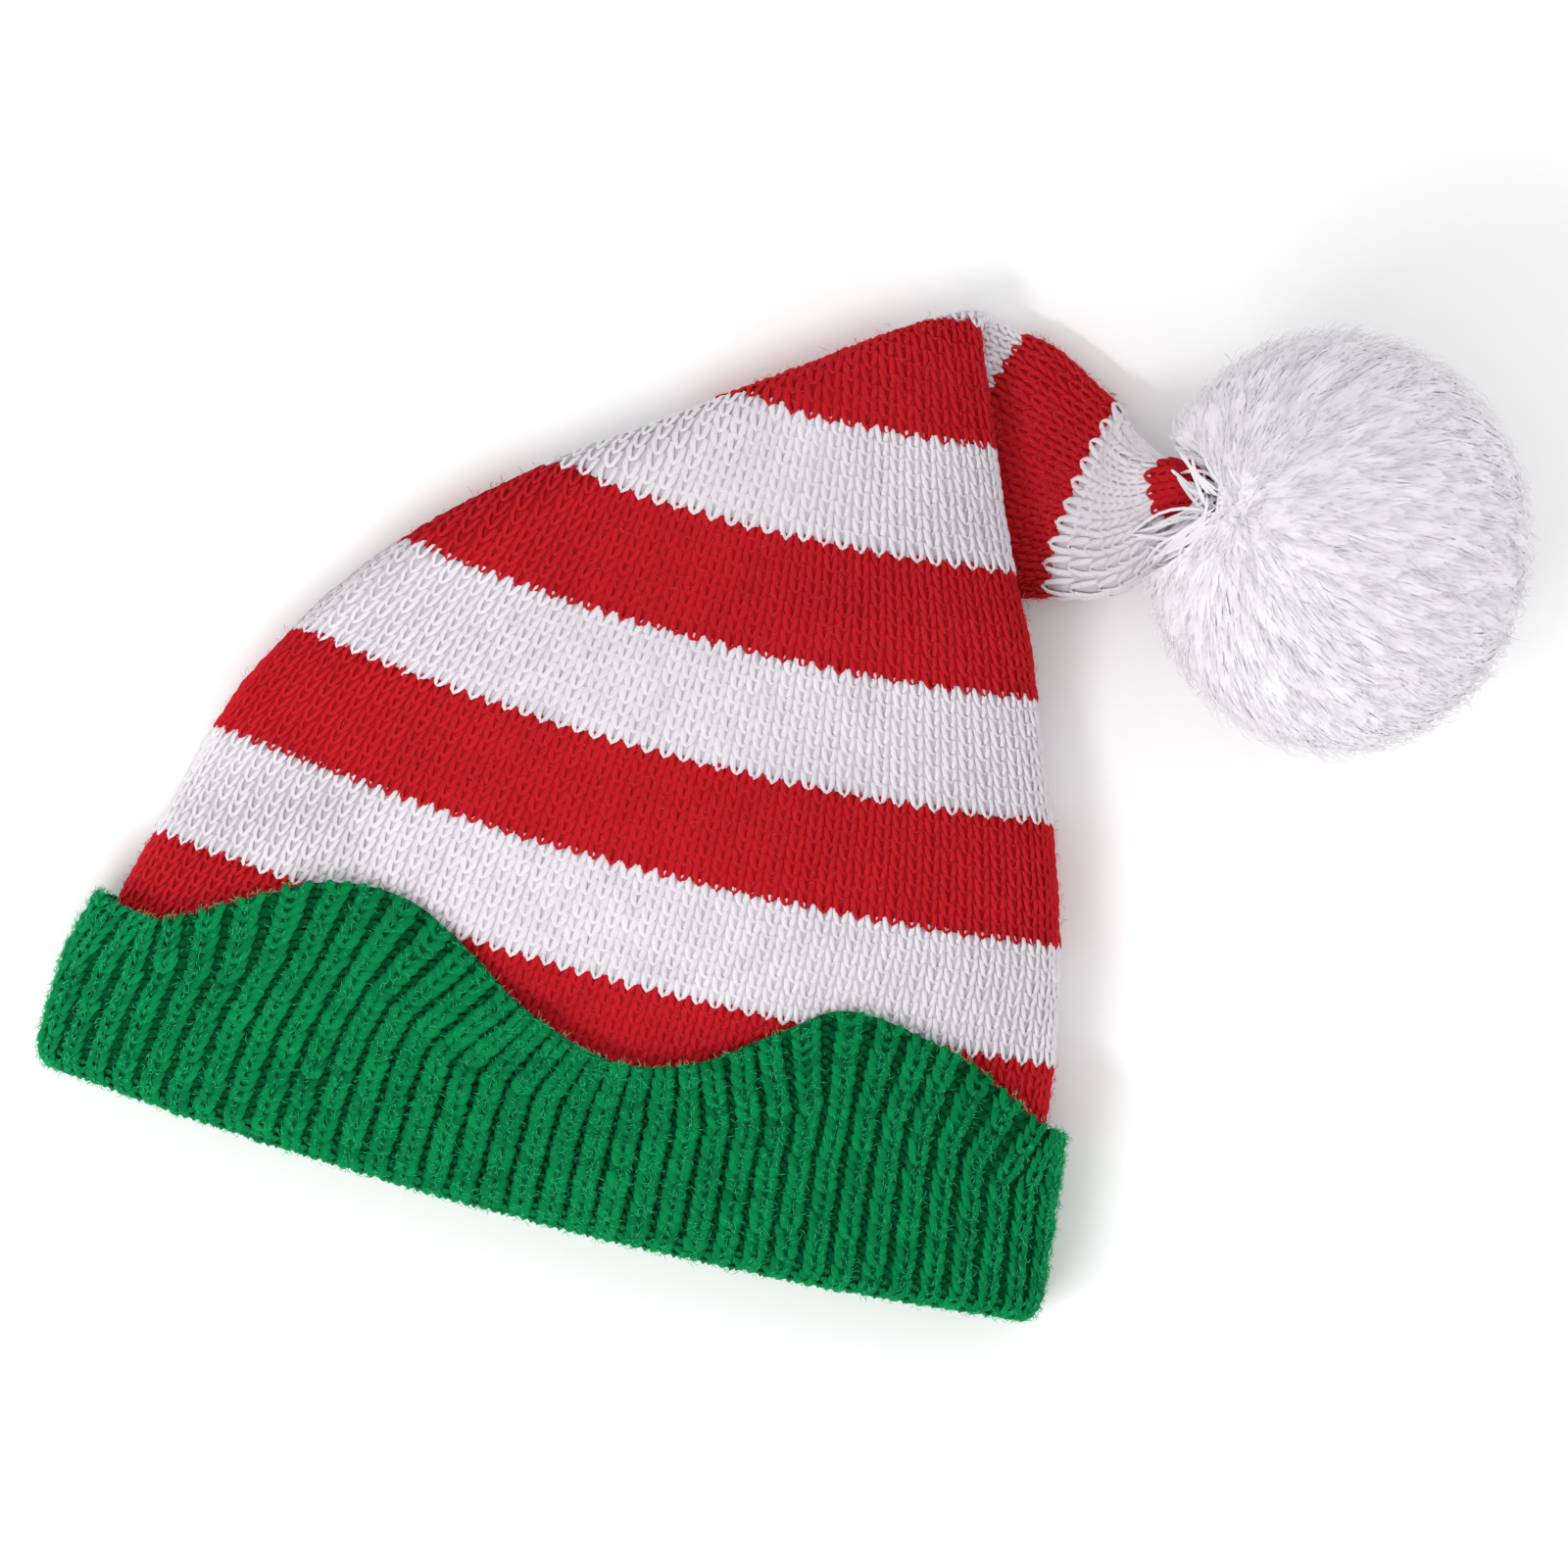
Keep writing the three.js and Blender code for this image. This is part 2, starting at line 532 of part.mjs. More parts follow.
// The pompom: a core with locks of yarn that stand out of it, and a hollow where the tip is sewn in.
async function pompomGeometry() {
  const wasm = await Module();
  wasm.setup();
  const solidOf = (geometry) => {
    const bare = geometry.clone();
    bare.deleteAttribute("normal");
    bare.deleteAttribute("uv");
    const merged = mergeVertices(bare, WELD_DISTANCE);
    const vertProperties = new Float32Array(merged.getAttribute("position").array);
    const triVerts = new Uint32Array(merged.getIndex().array);
    return new wasm.Manifold(new wasm.Mesh({ numProp: 3, vertProperties, triVerts }));
  };
  const halfSizes = new THREE.Vector3(POMPOM.wide, POMPOM.long, POMPOM.high);
  const place = new THREE.Matrix4().makeRotationZ(degToRad(POMPOM.turn));
  place.setPosition(POMPOM.x, POMPOM.y, POMPOM.z);
  const coreSize = halfSizes.clone().multiplyScalar(CORE_SHARE);
  const core = new THREE.IcosahedronGeometry(1, CORE_DETAIL);
  core.scale(coreSize.x, coreSize.y, coreSize.z);
  let ball = solidOf(core.applyMatrix4(place));

  const tipEnd = STRIPES[STRIPES.length - 1].end;
  const tie = crownPoint(tipEnd, Math.PI / 2, 0);
  const towardsTie = tie.clone().applyMatrix4(place.clone().invert()).normalize();
  const upright = new THREE.Vector3(0, 1, 0);
  const goldenTurn = Math.PI * (3 - Math.sqrt(5));
  for (let lock = 0; lock < LOCKS; lock += 1) {
    const z = 1 - (2 * lock + 1) / LOCKS;
    const level = Math.sqrt(1 - z * z);
    const direction = new THREE.Vector3(
      level * Math.cos(lock * goldenTurn),
      level * Math.sin(lock * goldenTurn),
      z,
    );
    if (direction.dot(towardsTie) > TIE_CONE) {
      continue;
    }
    const tip = direction.clone().multiply(halfSizes);
    const root = tip.clone().multiplyScalar(LOCK_ROOT_SHARE);
    const length = tip.distanceTo(root);
    const lockShape = new THREE.CylinderGeometry(LOCK_TIP, LOCK_ROOT, length, LOCK_SIDES, 1);
    lockShape.applyQuaternion(new THREE.Quaternion().setFromUnitVectors(upright, direction));
    const middle = tip.clone().add(root).divideScalar(2);
    lockShape.translate(middle.x, middle.y, middle.z);
    ball = ball.add(solidOf(lockShape.applyMatrix4(place)));
  }

  const seat = [];
  const seatStart = STRIPES[STRIPES.length - 3].end;
  for (let row = 0; row <= SEAT_ROWS; row += 1) {
    const along = lerp(seatStart, tipEnd + TIE_CLEARANCE, row / SEAT_ROWS);
    seat.push(crownRing(along, -TIE_CLEARANCE, SEAT_STEPS));
  }
  const made = ball.subtract(solidOf(surfaceThrough(seat, true))).getMesh();
  const geometry = new THREE.BufferGeometry();
  geometry.setAttribute("position", new THREE.BufferAttribute(made.vertProperties, 3));
  geometry.setIndex(new THREE.BufferAttribute(made.triVerts, 1));
  geometry.computeVertexNormals();
  return geometry;
}

// The whole hat, shifted so that its origin lies on the table under the flat middle of the crown.
const hat = new THREE.Group();
const laid = new THREE.Group();
laid.position.set(0, -FLAT_PLACE, 0);
hat.add(laid);

function addPiece(name, geometry, yarn) {
  const mesh = new THREE.Mesh(geometry, YARNS[yarn]);
  mesh.name = name;
  laid.add(mesh);
}

addPiece("cuff", cuffGeometry(), "green");
let stripeStart = CROWN_START;
STRIPES.forEach((stripe, index) => {
  addPiece(stripe.name, stripeGeometry(stripeStart, stripe, index === STRIPES.length - 1), stripe.yarn);
  stripeStart = stripe.end;
});
addPiece("pompom", await pompomGeometry(), "white");

export default hat;
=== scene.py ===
import math
import bpy
import numpy as np
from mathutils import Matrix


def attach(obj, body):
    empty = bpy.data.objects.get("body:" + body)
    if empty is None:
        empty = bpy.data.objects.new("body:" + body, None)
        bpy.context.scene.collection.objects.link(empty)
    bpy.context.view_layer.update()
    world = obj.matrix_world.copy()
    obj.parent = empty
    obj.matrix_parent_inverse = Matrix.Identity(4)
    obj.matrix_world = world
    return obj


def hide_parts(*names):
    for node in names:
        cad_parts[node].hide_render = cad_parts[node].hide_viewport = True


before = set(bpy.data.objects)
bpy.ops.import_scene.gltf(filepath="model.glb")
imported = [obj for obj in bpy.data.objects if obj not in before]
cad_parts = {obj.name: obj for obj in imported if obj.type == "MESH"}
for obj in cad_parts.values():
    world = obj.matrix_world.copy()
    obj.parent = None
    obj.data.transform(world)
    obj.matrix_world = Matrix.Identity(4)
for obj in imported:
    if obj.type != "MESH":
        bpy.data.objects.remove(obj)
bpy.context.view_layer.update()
bpy.ops.object.select_all(action="DESELECT")

# Crown: a cone of plain knitting in red and white yarn by turns, laid flat, its tip folded over behind.
# Each stripe is a ring of knitting with two yarn legs to every stitch outside and purl bumps inside.
# Its loops hold on to those of the next stripe, and the last stripe is gathered into the pompom.
MM = 0.001
FLAT_PLACE = 83.0
YARN_MOTTLE = 0.45
KNIT_WALL = 2.6
PIECE_GAP = 0.3
STITCH_WIDTH = 3.9
STRIPE_ROWS = 9
CROWN_START = 32.0
HIDDEN_BY_CUFF = 36.0
STRIPES = [
    ("stripe_red_1", "red_yarn", 57.5),
    ("stripe_white_1", "white_yarn", 83.75),
    ("stripe_red_2", "red_yarn", 110.0),
    ("stripe_white_2", "white_yarn", 136.25),
    ("stripe_red_3", "red_yarn", 162.5),
    ("stripe_white_3", "white_yarn", 188.75),
    ("stripe_red_4", "red_yarn", 215.0),
    ("stripe_white_4", "white_yarn", 238.0),
    ("stripe_red_5", "red_yarn", 264.5),
    ("stripe_white_5", "white_yarn", 295.0),
    ("stripe_red_6", "red_yarn", 316.0),
]


def table(columns, rows):
    """A table as a dictionary of columns, of which the first is its key."""
    return dict(zip(columns.split(), np.array(rows, float).T))


# The crown laid flat, in millimetres from the mouth, a row for each section.
CROWN = table("along left right under height puff sag", [
    (32, -109.6, 108.2, 4.2, 30.0, 0, 6.5),
    (44, -107.1, 107.6, 4.2, 30.0, 0, 6.5),
    (58, -103.3, 106.1, 4.1, 30.4, 0, 6.6),
    (66, -101.4, 104.7, 3.2, 31.8, 0, 6.7),
    (76, -99.0, 102.8, 0.7, 34.3, 0, 6.8),
    (83, -96.8, 100.8, 0, 34.8, 0, 7.0),
    (94, -93.2, 97.5, 0, 34.5, 0, 7.0),
    (112, -85.8, 91.2, 0, 32.0, 0, 7.0),
    (130, -77.5, 84.0, 0, 29.0, 0, 6.5),
    (148, -69.0, 76.8, 0, 26.0, 0, 6.0),
    (166, -60.0, 67.8, 0, 22.0, 0, 5.0),
    (190, -48.5, 57.7, 0, 16.0, 0, 4.0),
    (216, -37.0, 47.0, 0, 10.0, 0, 3.0),
    (242, -29.0, 36.0, 0, 8.4, 0, 2.5),
    (267, -19.5, 25.5, 0, 8.4, 2.5, 2.0),
    (281, -11.5, 19.5, 0, 8.4, 5.0, 1.5),
    (294, -4.0, 11.5, 0, 8.4, 4.5, 1.0),
    (305, -3.0, 9.5, 0, 8.4, 3.0, 0.5),
    (316, -1.0, 6.5, 0, 8.0, 0, 0),
])
TOP_ROUNDING = 2.8
UNDER_ROUNDING = 5.0
WAIST = 0.35
EVEN_WAIST = 0.5
FLATTENING = 0.1

# Soft dents in the crown's front, with the way that each runs in degrees.
DENTS = table("x y heading length width depth", [
    (22, 184, 110, 26, 12, 1.8),
    (-30, 128, 40, 40, 16, 1.6),
    (52, 108, 150, 44, 15, 1.4),
    (-62, 88, 70, 30, 14, 1.4),
    (12, 40, 0, 48, 7, 2.0),
])

# The fold of the tip, the crown's rise over it, the tip's swing and the line on which it climbs the pompom.
FOLD_X, FOLD_Y = 47.0, 217.0
FOLD_SLANT = math.radians(36.1)
FOLD_THICK = 8.4
FOLD_INSIDE = 2.0
FOLD_MIDDLE_LAYER = 6.6
FOLD_SOFT_START, FOLD_SOFT_END = 12.0, 67.0
FOLD_ROUND_END = 30.0
FOLD_OUTSIDE = FOLD_INSIDE + FOLD_THICK
FOLD_AXIS_HEIGHT = PIECE_GAP + FOLD_OUTSIDE
FOLD_LINE = table("run offset", [
    (-175, -6), (-157, -1), (-141, 2.4), (-122, 4.5), (-100, 5.2), (-75, 4.6), (-8, 4.2), (30, 4.2),
])
RISE_X, RISE_Y = -92.0, 104.0
RISE_SLANT = math.radians(16.5)
RISE_WIDTH = 36.0
CROWN_RISE = PIECE_GAP + FOLD_THICK + 1.4
FOLD_LOFT = FOLD_AXIS_HEIGHT + FOLD_INSIDE - CROWN_RISE
FOLD_LOFT_WIDTH = 45.0
SWING = math.radians(12)
SWING_X, SWING_Y = 7.5, 204.0
SWING_START, SWING_END = 9.4, 42.0
CLIMB_X, CLIMB_Y = 70.0, 187.0
CLIMB_STEP = 0.5
CLIMB_REACH = 96.0
CLIMB = table("run heading pitch", [
    (0, -10, 0), (12, -8, 22), (22, 16, 56), (36, 28, 58), (50, 5, 35), (64, -12, 10),
])


def column_at(columns, column, value):
    """Reads a column at any value of the first one, on a smooth curve through the rows."""
    keys, values = next(iter(columns.values())), columns[column]
    last = len(keys) - 1
    before = np.maximum(np.arange(last + 1) - 1, 0)
    after = np.minimum(np.arange(last + 1) + 1, last)
    slopes = (values[after] - values[before]) / (keys[after] - keys[before])
    at = np.clip(value, keys[0], keys[last])
    row = np.clip(np.searchsorted(keys, at) - 1, 0, last - 1)
    span = keys[row + 1] - keys[row]
    t = (at - keys[row]) / span
    rise = t * t * (3 - 2 * t)
    leave = t * (1 - t) ** 2 * span * slopes[row]
    arrive = t * t * (t - 1) * span * slopes[row + 1]
    return values[row] + (values[row + 1] - values[row]) * rise + leave + arrive


def ease(value, low, high):
    """Goes smoothly from 0 to 1 between two values."""
    t = np.clip((value - low) / (high - low), 0, 1)
    return t * t * (3 - 2 * t)


def turned(x, y, angle):
    """A place turned from +X towards +Y by an angle."""
    cos, sin = np.cos(angle), np.sin(angle)
    return cos * x - sin * y, sin * x + cos * y


def loop_place(angle, rounded):
    """Where an angle round a flat-lying tube falls: across and up, each from -1 to 1."""
    cos, sin = np.cos(angle), np.sin(angle)
    on_top = sin >= 0
    across = np.sign(cos) * np.abs(cos) ** np.where(on_top, 2 / TOP_ROUNDING, 2 / UNDER_ROUNDING)
    top = np.abs(sin) ** (2 / TOP_ROUNDING)
    power = 2 / UNDER_ROUNDING + (2 / TOP_ROUNDING - 2 / UNDER_ROUNDING) * rounded
    under = np.minimum(1, (1 + FLATTENING * (1 - rounded)) * np.abs(sin) ** power)
    return across, np.where(on_top, top, -under)


def loop_height(up, height, waist, depth):
    """The height of a place on the loop, depth under the tube's outside."""
    return np.where(up >= 0, waist + (height - depth - waist) * up, waist + (waist - depth) * up)


def fine_angles(steps=720):
    """Angles round a flat tube that lie close together both at its edges and on its flats."""
    even = np.linspace(-1, 1, steps + 1)
    top = np.arccos(np.sign(even) * np.abs(even) ** (TOP_ROUNDING / 2))
    under = 2 * math.pi - np.arccos(np.sign(even) * np.abs(even) ** (UNDER_ROUNDING / 2))
    return np.unique(np.concatenate([np.linspace(0, 2 * math.pi, steps + 1), top, under]))


FINE_ANGLES = fine_angles()


def girth_lengths(half, height):
    """How far round a flat tube each of the fine angles lies, from its right edge over its top."""
    across, up = loop_place(FINE_ANGLES, 0.0)
    path = np.stack([half * across, loop_height(up, height, WAIST * height, 0)])
    return np.concatenate([[0], np.cumsum(np.hypot(*np.diff(path, axis=1)))])


def girth_angle(turn, half, height):
    """The angle at a share of a flat tube's girth."""
    lengths = girth_lengths(half, height)
    return np.interp(np.mod(turn, 1) * lengths[-1], lengths, FINE_ANGLES)


def crown_half(along):
    """Half of the crown's width, and its height, at a distance from the mouth."""
    half = (column_at(CROWN, "right", along) - column_at(CROWN, "left", along)) / 2
    return half, column_at(CROWN, "height", along) + column_at(CROWN, "puff", along)


def past_fold(x, y):
    """How far a point of the flat cone lies past the fold."""
    run, straight = turned(x - FOLD_X, y - FOLD_Y, -FOLD_SLANT)
    return straight - column_at(FOLD_LINE, "offset", run)


def dent_depth(x, y):
    """How deep the soft dents press the crown's front."""
    depth = np.zeros_like(x)
    for dent_x, dent_y, heading, length, width, deep in zip(*DENTS.values()):
        lengthwise, sideways = turned(x - dent_x, y - dent_y, -math.radians(heading))
        depth += deep * np.exp(-(lengthwise / length) ** 2 - (sideways / width) ** 2)
    return depth


def climb_line():
    """The line that the tip climbs along: its runs, places, headings and pitches."""
    runs = np.arange(0, CLIMB_REACH + CLIMB_STEP, CLIMB_STEP)
    headings = np.radians(column_at(CLIMB, "heading", runs))
    pitches = np.radians(column_at(CLIMB, "pitch", runs))
    level = np.cos(pitches)
    steps = CLIMB_STEP * np.stack([level * np.cos(headings), level * np.sin(headings), np.sin(pitches)])
    places = np.concatenate([np.zeros((3, 1)), np.cumsum(steps, axis=1)[:, :-1]], axis=1)
    return runs, places, headings, pitches


CLIMB_RUNS, CLIMB_PLACES, CLIMB_HEADINGS, CLIMB_PITCHES = climb_line()


def crown_point(along, angle, depth):
    """A point of the finished cone, in millimetres from the mouth's middle on the table."""
    at = {name: column_at(CROWN, name, along) for name in CROWN}
    half = (at["right"] - at["left"]) / 2
    middle = (at["right"] + at["left"]) / 2
    x = middle + (half - depth) * loop_place(angle, 0.0)[0]
    y = along - at["sag"] * (1 - ((x - middle) / half) ** 2)
    past = past_fold(x, y)
    full = ease(-past, FOLD_SOFT_START, FOLD_SOFT_END)
    height = FOLD_THICK + (at["height"] - FOLD_THICK) * full + at["puff"]
    rounded = ease(past, -FOLD_SOFT_START, FOLD_ROUND_END)
    waist = height * (WAIST + (EVEN_WAIST - WAIST) * rounded)
    up = loop_place(angle, rounded)[1]
    over_tip = turned(x - RISE_X, y - RISE_Y, -RISE_SLANT)[1]
    loft = FOLD_LOFT * ease(past, -FOLD_LOFT_WIDTH, -FOLD_OUTSIDE)
    rise = (CROWN_RISE + loft) * ease(over_tip, -RISE_WIDTH, 0)
    dent = np.maximum(up, 0) * full * dent_depth(x, y)
    z = at["under"] + rise + loop_height(up, height, waist, depth) - dent
    # Round the fold, so that what lies past it comes to lie under the crown.
    bent = past + FOLD_OUTSIDE
    turn = np.clip(bent / FOLD_MIDDLE_LAYER, 0, math.pi)
    radius = z - FOLD_AXIS_HEIGHT
    back = -FOLD_OUTSIDE + radius * np.sin(turn) - np.maximum(bent - math.pi * FOLD_MIDDLE_LAYER, 0)
    move = np.where(bent > 0, back - past, 0)
    x, y = x - move * math.sin(FOLD_SLANT), y + move * math.cos(FOLD_SLANT)
    z = np.where(bent > 0, FOLD_AXIS_HEIGHT + radius * np.cos(turn) + at["puff"] * turn / math.pi, z)
    # The tip's swing.
    swing = SWING * ease(bent, SWING_START, SWING_END)
    swung_x, swung_y = turned(x - SWING_X, y - SWING_Y, swing)
    x, y = SWING_X + swung_x, SWING_Y + swung_y
    # The climb up the pompom's side.
    run, sideways = turned(x - CLIMB_X, y - CLIMB_Y, -CLIMB_HEADINGS[0])
    climbs = (run > 0) & (bent >= math.pi / 2 * FOLD_MIDDLE_LAYER)
    level = PIECE_GAP + (FOLD_THICK + at["puff"]) / 2
    above = z - level
    place = [np.interp(run, CLIMB_RUNS, column) for column in CLIMB_PLACES]
    heading = np.interp(run, CLIMB_RUNS, CLIMB_HEADINGS)
    pitch = np.interp(run, CLIMB_RUNS, CLIMB_PITCHES)
    lean = above * np.sin(pitch)
    x = np.where(climbs, CLIMB_X + place[0] - sideways * np.sin(heading) - lean * np.cos(heading), x)
    y = np.where(climbs, CLIMB_Y + place[1] + sideways * np.cos(heading) - lean * np.sin(heading), y)
    z = np.where(climbs, level + place[2] + above * np.cos(pitch), z)
    return np.stack([x, y, z], axis=-1)


def unit(vectors):
    """Vectors of length one."""
    return vectors / np.maximum(np.linalg.norm(vectors, axis=-1, keepdims=True), 1e-9)


def facing_out(points, triangles):
    """Turns the triangles of a closed mesh outwards."""
    a, b, c = (points[triangles[:, corner]] for corner in range(3))
    volume = np.einsum("ij,ij->i", a - points[0], np.cross(b - points[0], c - points[0])).sum()
    return triangles if volume > 0 else triangles[:, ::-1]


def yarn_tubes(axis, facing, wide, high, sides, tones):
    """Closed tubes along rows of points, pointed at both ends and wider than they are high. They make a part:
    its points, its triangles, its tones from dark to light and the way that it faces."""
    count, length = axis.shape[:2]
    along = unit(np.gradient(axis, axis=1))
    side = unit(np.cross(along, facing))
    up = np.cross(side, along)
    spin = math.pi / 2 + 2 * math.pi * np.arange(sides) / sides
    wide, high = wide[:, 1:-1, None, None], high[:, 1:-1, None, None]
    sideways = wide * np.cos(spin)[:, None] * side[:, 1:-1, None]
    upwards = high * np.sin(spin)[:, None] * up[:, 1:-1, None]
    rings = axis[:, 1:-1, None] + (sideways + upwards)
    points = np.concatenate([axis[:, :1], rings.reshape(count, -1, 3), axis[:, -1:]], axis=1)
    i = np.arange(sides)
    j = (i + 1) % sides
    first = [np.stack([0 * i, 1 + i, 1 + j], axis=1)]
    for ring in range(length - 3):
        here = 1 + ring * sides
        there = here + sides
        first.append(np.stack([here + i, there + i, here + j], axis=1))
        first.append(np.stack([here + j, there + i, there + j], axis=1))
    top = 1 + (length - 3) * sides
    first.append(np.stack([top + i, 0 * i + top + sides, top + j], axis=1))
    per_tube = points.shape[1]
    triangles = np.concatenate(first)[None] + per_tube * np.arange(count)[:, None, None]
    ring_facing = np.repeat(facing[:, 1:-1], sides, axis=1)
    facing = np.concatenate([facing[:, :1], ring_facing, facing[:, -1:]], axis=1)
    tones = np.repeat(np.broadcast_to(tones, count), per_tube)
    points = points.reshape(-1, 3)
    return points, facing_out(points, triangles.reshape(-1, 3)), tones, unit(facing.reshape(-1, 3))


def ring_wall(rings, closed):
    """A surface through rings of points. The last ring joins the first, or each end is closed by a point."""
    count, around = rings.shape[:2]
    points = rings.reshape(-1, 3)
    i = np.arange(around)
    j = (i + 1) % around
    triangles = []
    for ring in range(count if closed else count - 1):
        here, there = ring * around, (ring + 1) % count * around
        triangles.append(np.stack([here + i, here + j, there + j], axis=1))
        triangles.append(np.stack([here + i, there + j, there + i], axis=1))
    if not closed:
        points = np.concatenate([points, rings[:1].mean(axis=1), rings[-1:].mean(axis=1)])
        low, high = count * around, count * around + 1
        triangles.append(np.stack([0 * i + low, j, i], axis=1))
        triangles.append(np.stack([0 * i + high, i + (count - 1) * around, j + (count - 1) * around], axis=1))
    return points, facing_out(points, np.concatenate(triangles))


def yarn_piece(name, parts, material, softness):
    """Makes one object of parts in millimetres. Fluffy yarn lets light through, so its normals are turned
    towards the way that the piece faces, by the share that softness gives."""
    starts = np.cumsum([0] + [len(part[0]) for part in parts])
    points = np.concatenate([part[0] for part in parts])
    points = ((points - (0, FLAT_PLACE, 0)) * MM).astype(np.float32)
    triangles = np.concatenate([part[1] + start for part, start in zip(parts, starts)])
    tones = np.concatenate([part[2] for part in parts])
    facing = np.concatenate([part[3] for part in parts])
    mesh = bpy.data.meshes.new(name)
    mesh.from_pydata(points, [], triangles, shade_flat=False)
    tone = mesh.attributes.new("tone", "FLOAT", "POINT")
    tone.data.foreach_set("value", tones.astype(np.float32))
    normals = np.empty(3 * len(points))
    mesh.vertices.foreach_get("normal", normals)
    normals = (1 - softness) * normals.reshape(-1, 3) + softness * facing
    mesh.normals_split_custom_set_from_vertices(unit(normals))
    piece = bpy.data.objects.new(name, mesh)
    bpy.context.scene.collection.objects.link(piece)
    mesh.materials.append(material)
    return piece


def set_inputs(node, values):
    """Sets the inputs of a shader node by their names."""
    for name, value in values.items():
        node.inputs[name].default_value = value
    return node


def yarn_material(name, dark, light, sheen, fibre_bump):
    """Spun yarn: a colour that goes from dark, painted shade in the gaps, to light on the loops, mottled and
    fibrous.
    """
    material = bpy.data.materials.new(name)
    material.use_nodes = True
    nodes, links = material.node_tree.nodes, material.node_tree.links
    shader = set_inputs(nodes["Principled BSDF"], {
        "Roughness": 0.92,
        "Specular IOR Level": 0.06,
        "Sheen Weight": sheen,
        "Sheen Roughness": 0.45,
        "Sheen Tint": (*light, 1),
    })
    place = nodes.new("ShaderNodeTexCoord")
    tone = nodes.new("ShaderNodeAttribute")
    tone.attribute_name = "tone"
    fibres = set_inputs(nodes.new("ShaderNodeTexNoise"), {"Scale": 1400, "Detail": 3})
    mottle = set_inputs(nodes.new("ShaderNodeTexNoise"), {"Scale": 60, "Detail": 4})
    links.new(place.outputs["Object"], fibres.inputs["Vector"])
    links.new(place.outputs["Object"], mottle.inputs["Vector"])
    both = nodes.new("ShaderNodeMath")
    both.operation = "ADD"
    links.new(fibres.outputs["Fac"], both.inputs[0])
    links.new(mottle.outputs["Fac"], both.inputs[1])
    uneven = nodes.new("ShaderNodeMath")
    uneven.operation = "MULTIPLY_ADD"
    uneven.inputs[1].default_value = YARN_MOTTLE
    uneven.inputs[2].default_value = -YARN_MOTTLE
    links.new(both.outputs["Value"], uneven.inputs[0])
    share = nodes.new("ShaderNodeMath")
    share.operation = "ADD"
    share.use_clamp = True
    links.new(tone.outputs["Fac"], share.inputs[0])
    links.new(uneven.outputs["Value"], share.inputs[1])
    colour = nodes.new("ShaderNodeMix")
    colour.data_type = "RGBA"
    set_inputs(colour, {"A": (*dark, 1), "B": (*light, 1)})
    links.new(share.outputs["Value"], colour.inputs["Factor"])
    links.new(colour.outputs["Result"], shader.inputs["Base Color"])
    bump = set_inputs(nodes.new("ShaderNodeBump"), {"Strength": fibre_bump, "Distance": 0.0004})
    links.new(fibres.outputs["Fac"], bump.inputs["Height"])
    links.new(bump.outputs["Normal"], shader.inputs["Normal"])
    return material


# A stitch's loop from its round bottom up one leg to its hidden end; the other leg mirrors it.
# Up is a share of the row, out and wide are shares of the stitch's width, and lift and high are millimetres.
LOOP = table("up out lift wide high", [
    (0.02, 0, -0.08, 0.16, 0.52),
    (0.20, 0.17, -0.03, 0.175, 0.56),
    (0.64, 0.285, 0, 0.215, 0.60),
    (1.14, 0.325, -0.25, 0.21, 0.54),
    (1.52, 0.31, -1.2, 0, 0),
])
# The same for the first row of a new colour, whose round bottoms hang over the last row of the old one.
FIRST_LOOP = table("up out lift wide high", [
    (-0.22, 0, 0.18, 0.125, 0.45),
    (0.06, 0.19, 0.20, 0.14, 0.50),
    (0.60, 0.29, 0.08, 0.19, 0.58),
    (1.14, 0.325, -0.25, 0.21, 0.54),
    (1.52, 0.31, -1.2, 0, 0),
])
LOOP_SIDES = 4
LOOP_AXIS_DEPTH = 0.75
# How far the loops differ: aside by a share of a stitch, higher by a share of a row, lifted in millimetres
# and fatter by a share.
LOOP_SPREADS = (0.02, 0.04, 0.08, 0.05)
LOOP_TONE, LOOP_TONE_SPREAD = 0.88, 0.05
FACING_STEP = 0.4
FEWEST_STITCHES = 10
WALL_INSET = 0.1
BACKING_DEPTH = 0.95
PURL_BUMP = 0.5
# Painted shade: the tone of the backing that shows through the holes between the loops, and of the low places
# between the purl bumps inside.
PAINTED_GAP_SHADE = 0.42
PURL_TONE = 0.85
KNIT_SOFTNESS = 0.36
FIBRE_SIDES = 3
FIBRE_BEND = 0.5
FIBRE_LENGTHS = (0.5, 1.2)
FIBRE_BULGES = (0.2, 0.9)
FIBRE_END_RISE = 0.1
FIBRE_TONE = 1.0
RED_FIBRES = 1200
RED_FIBRES_START = HIDDEN_BY_CUFF + 4
RED_FIBRE_LENGTH, RED_FIBRE_RADIUS, RED_FIBRE_ROOT = 3.5, 0.06, 0.3
YARN_LOOKS = {
    "red_yarn": yarn_material("red yarn", (0.26, 0.005, 0.008), (0.515, 0.0125, 0.0195), 0.35, 0.7),
    "white_yarn": yarn_material("white yarn", (0.43, 0.38, 0.42), (0.775, 0.735, 0.78), 0.35, 0.6),
}
random = np.random.default_rng(24)


def whole_loop(half):
    """The columns of a loop from one hidden end down round its bottom and up to the other."""
    left = {name: values[:0:-1] for name, values in half.items()}
    left["out"] = -left["out"]
    return {name: np.concatenate([left[name], values]) for name, values in half.items()}


def uneven_loops(count, spreads):
    """How far each loop lies aside, higher and lifted from its even place, and its fatness."""
    return [random.normal(even, spread, count) for even, spread in zip((0, 0, 0, 1), spreads)]


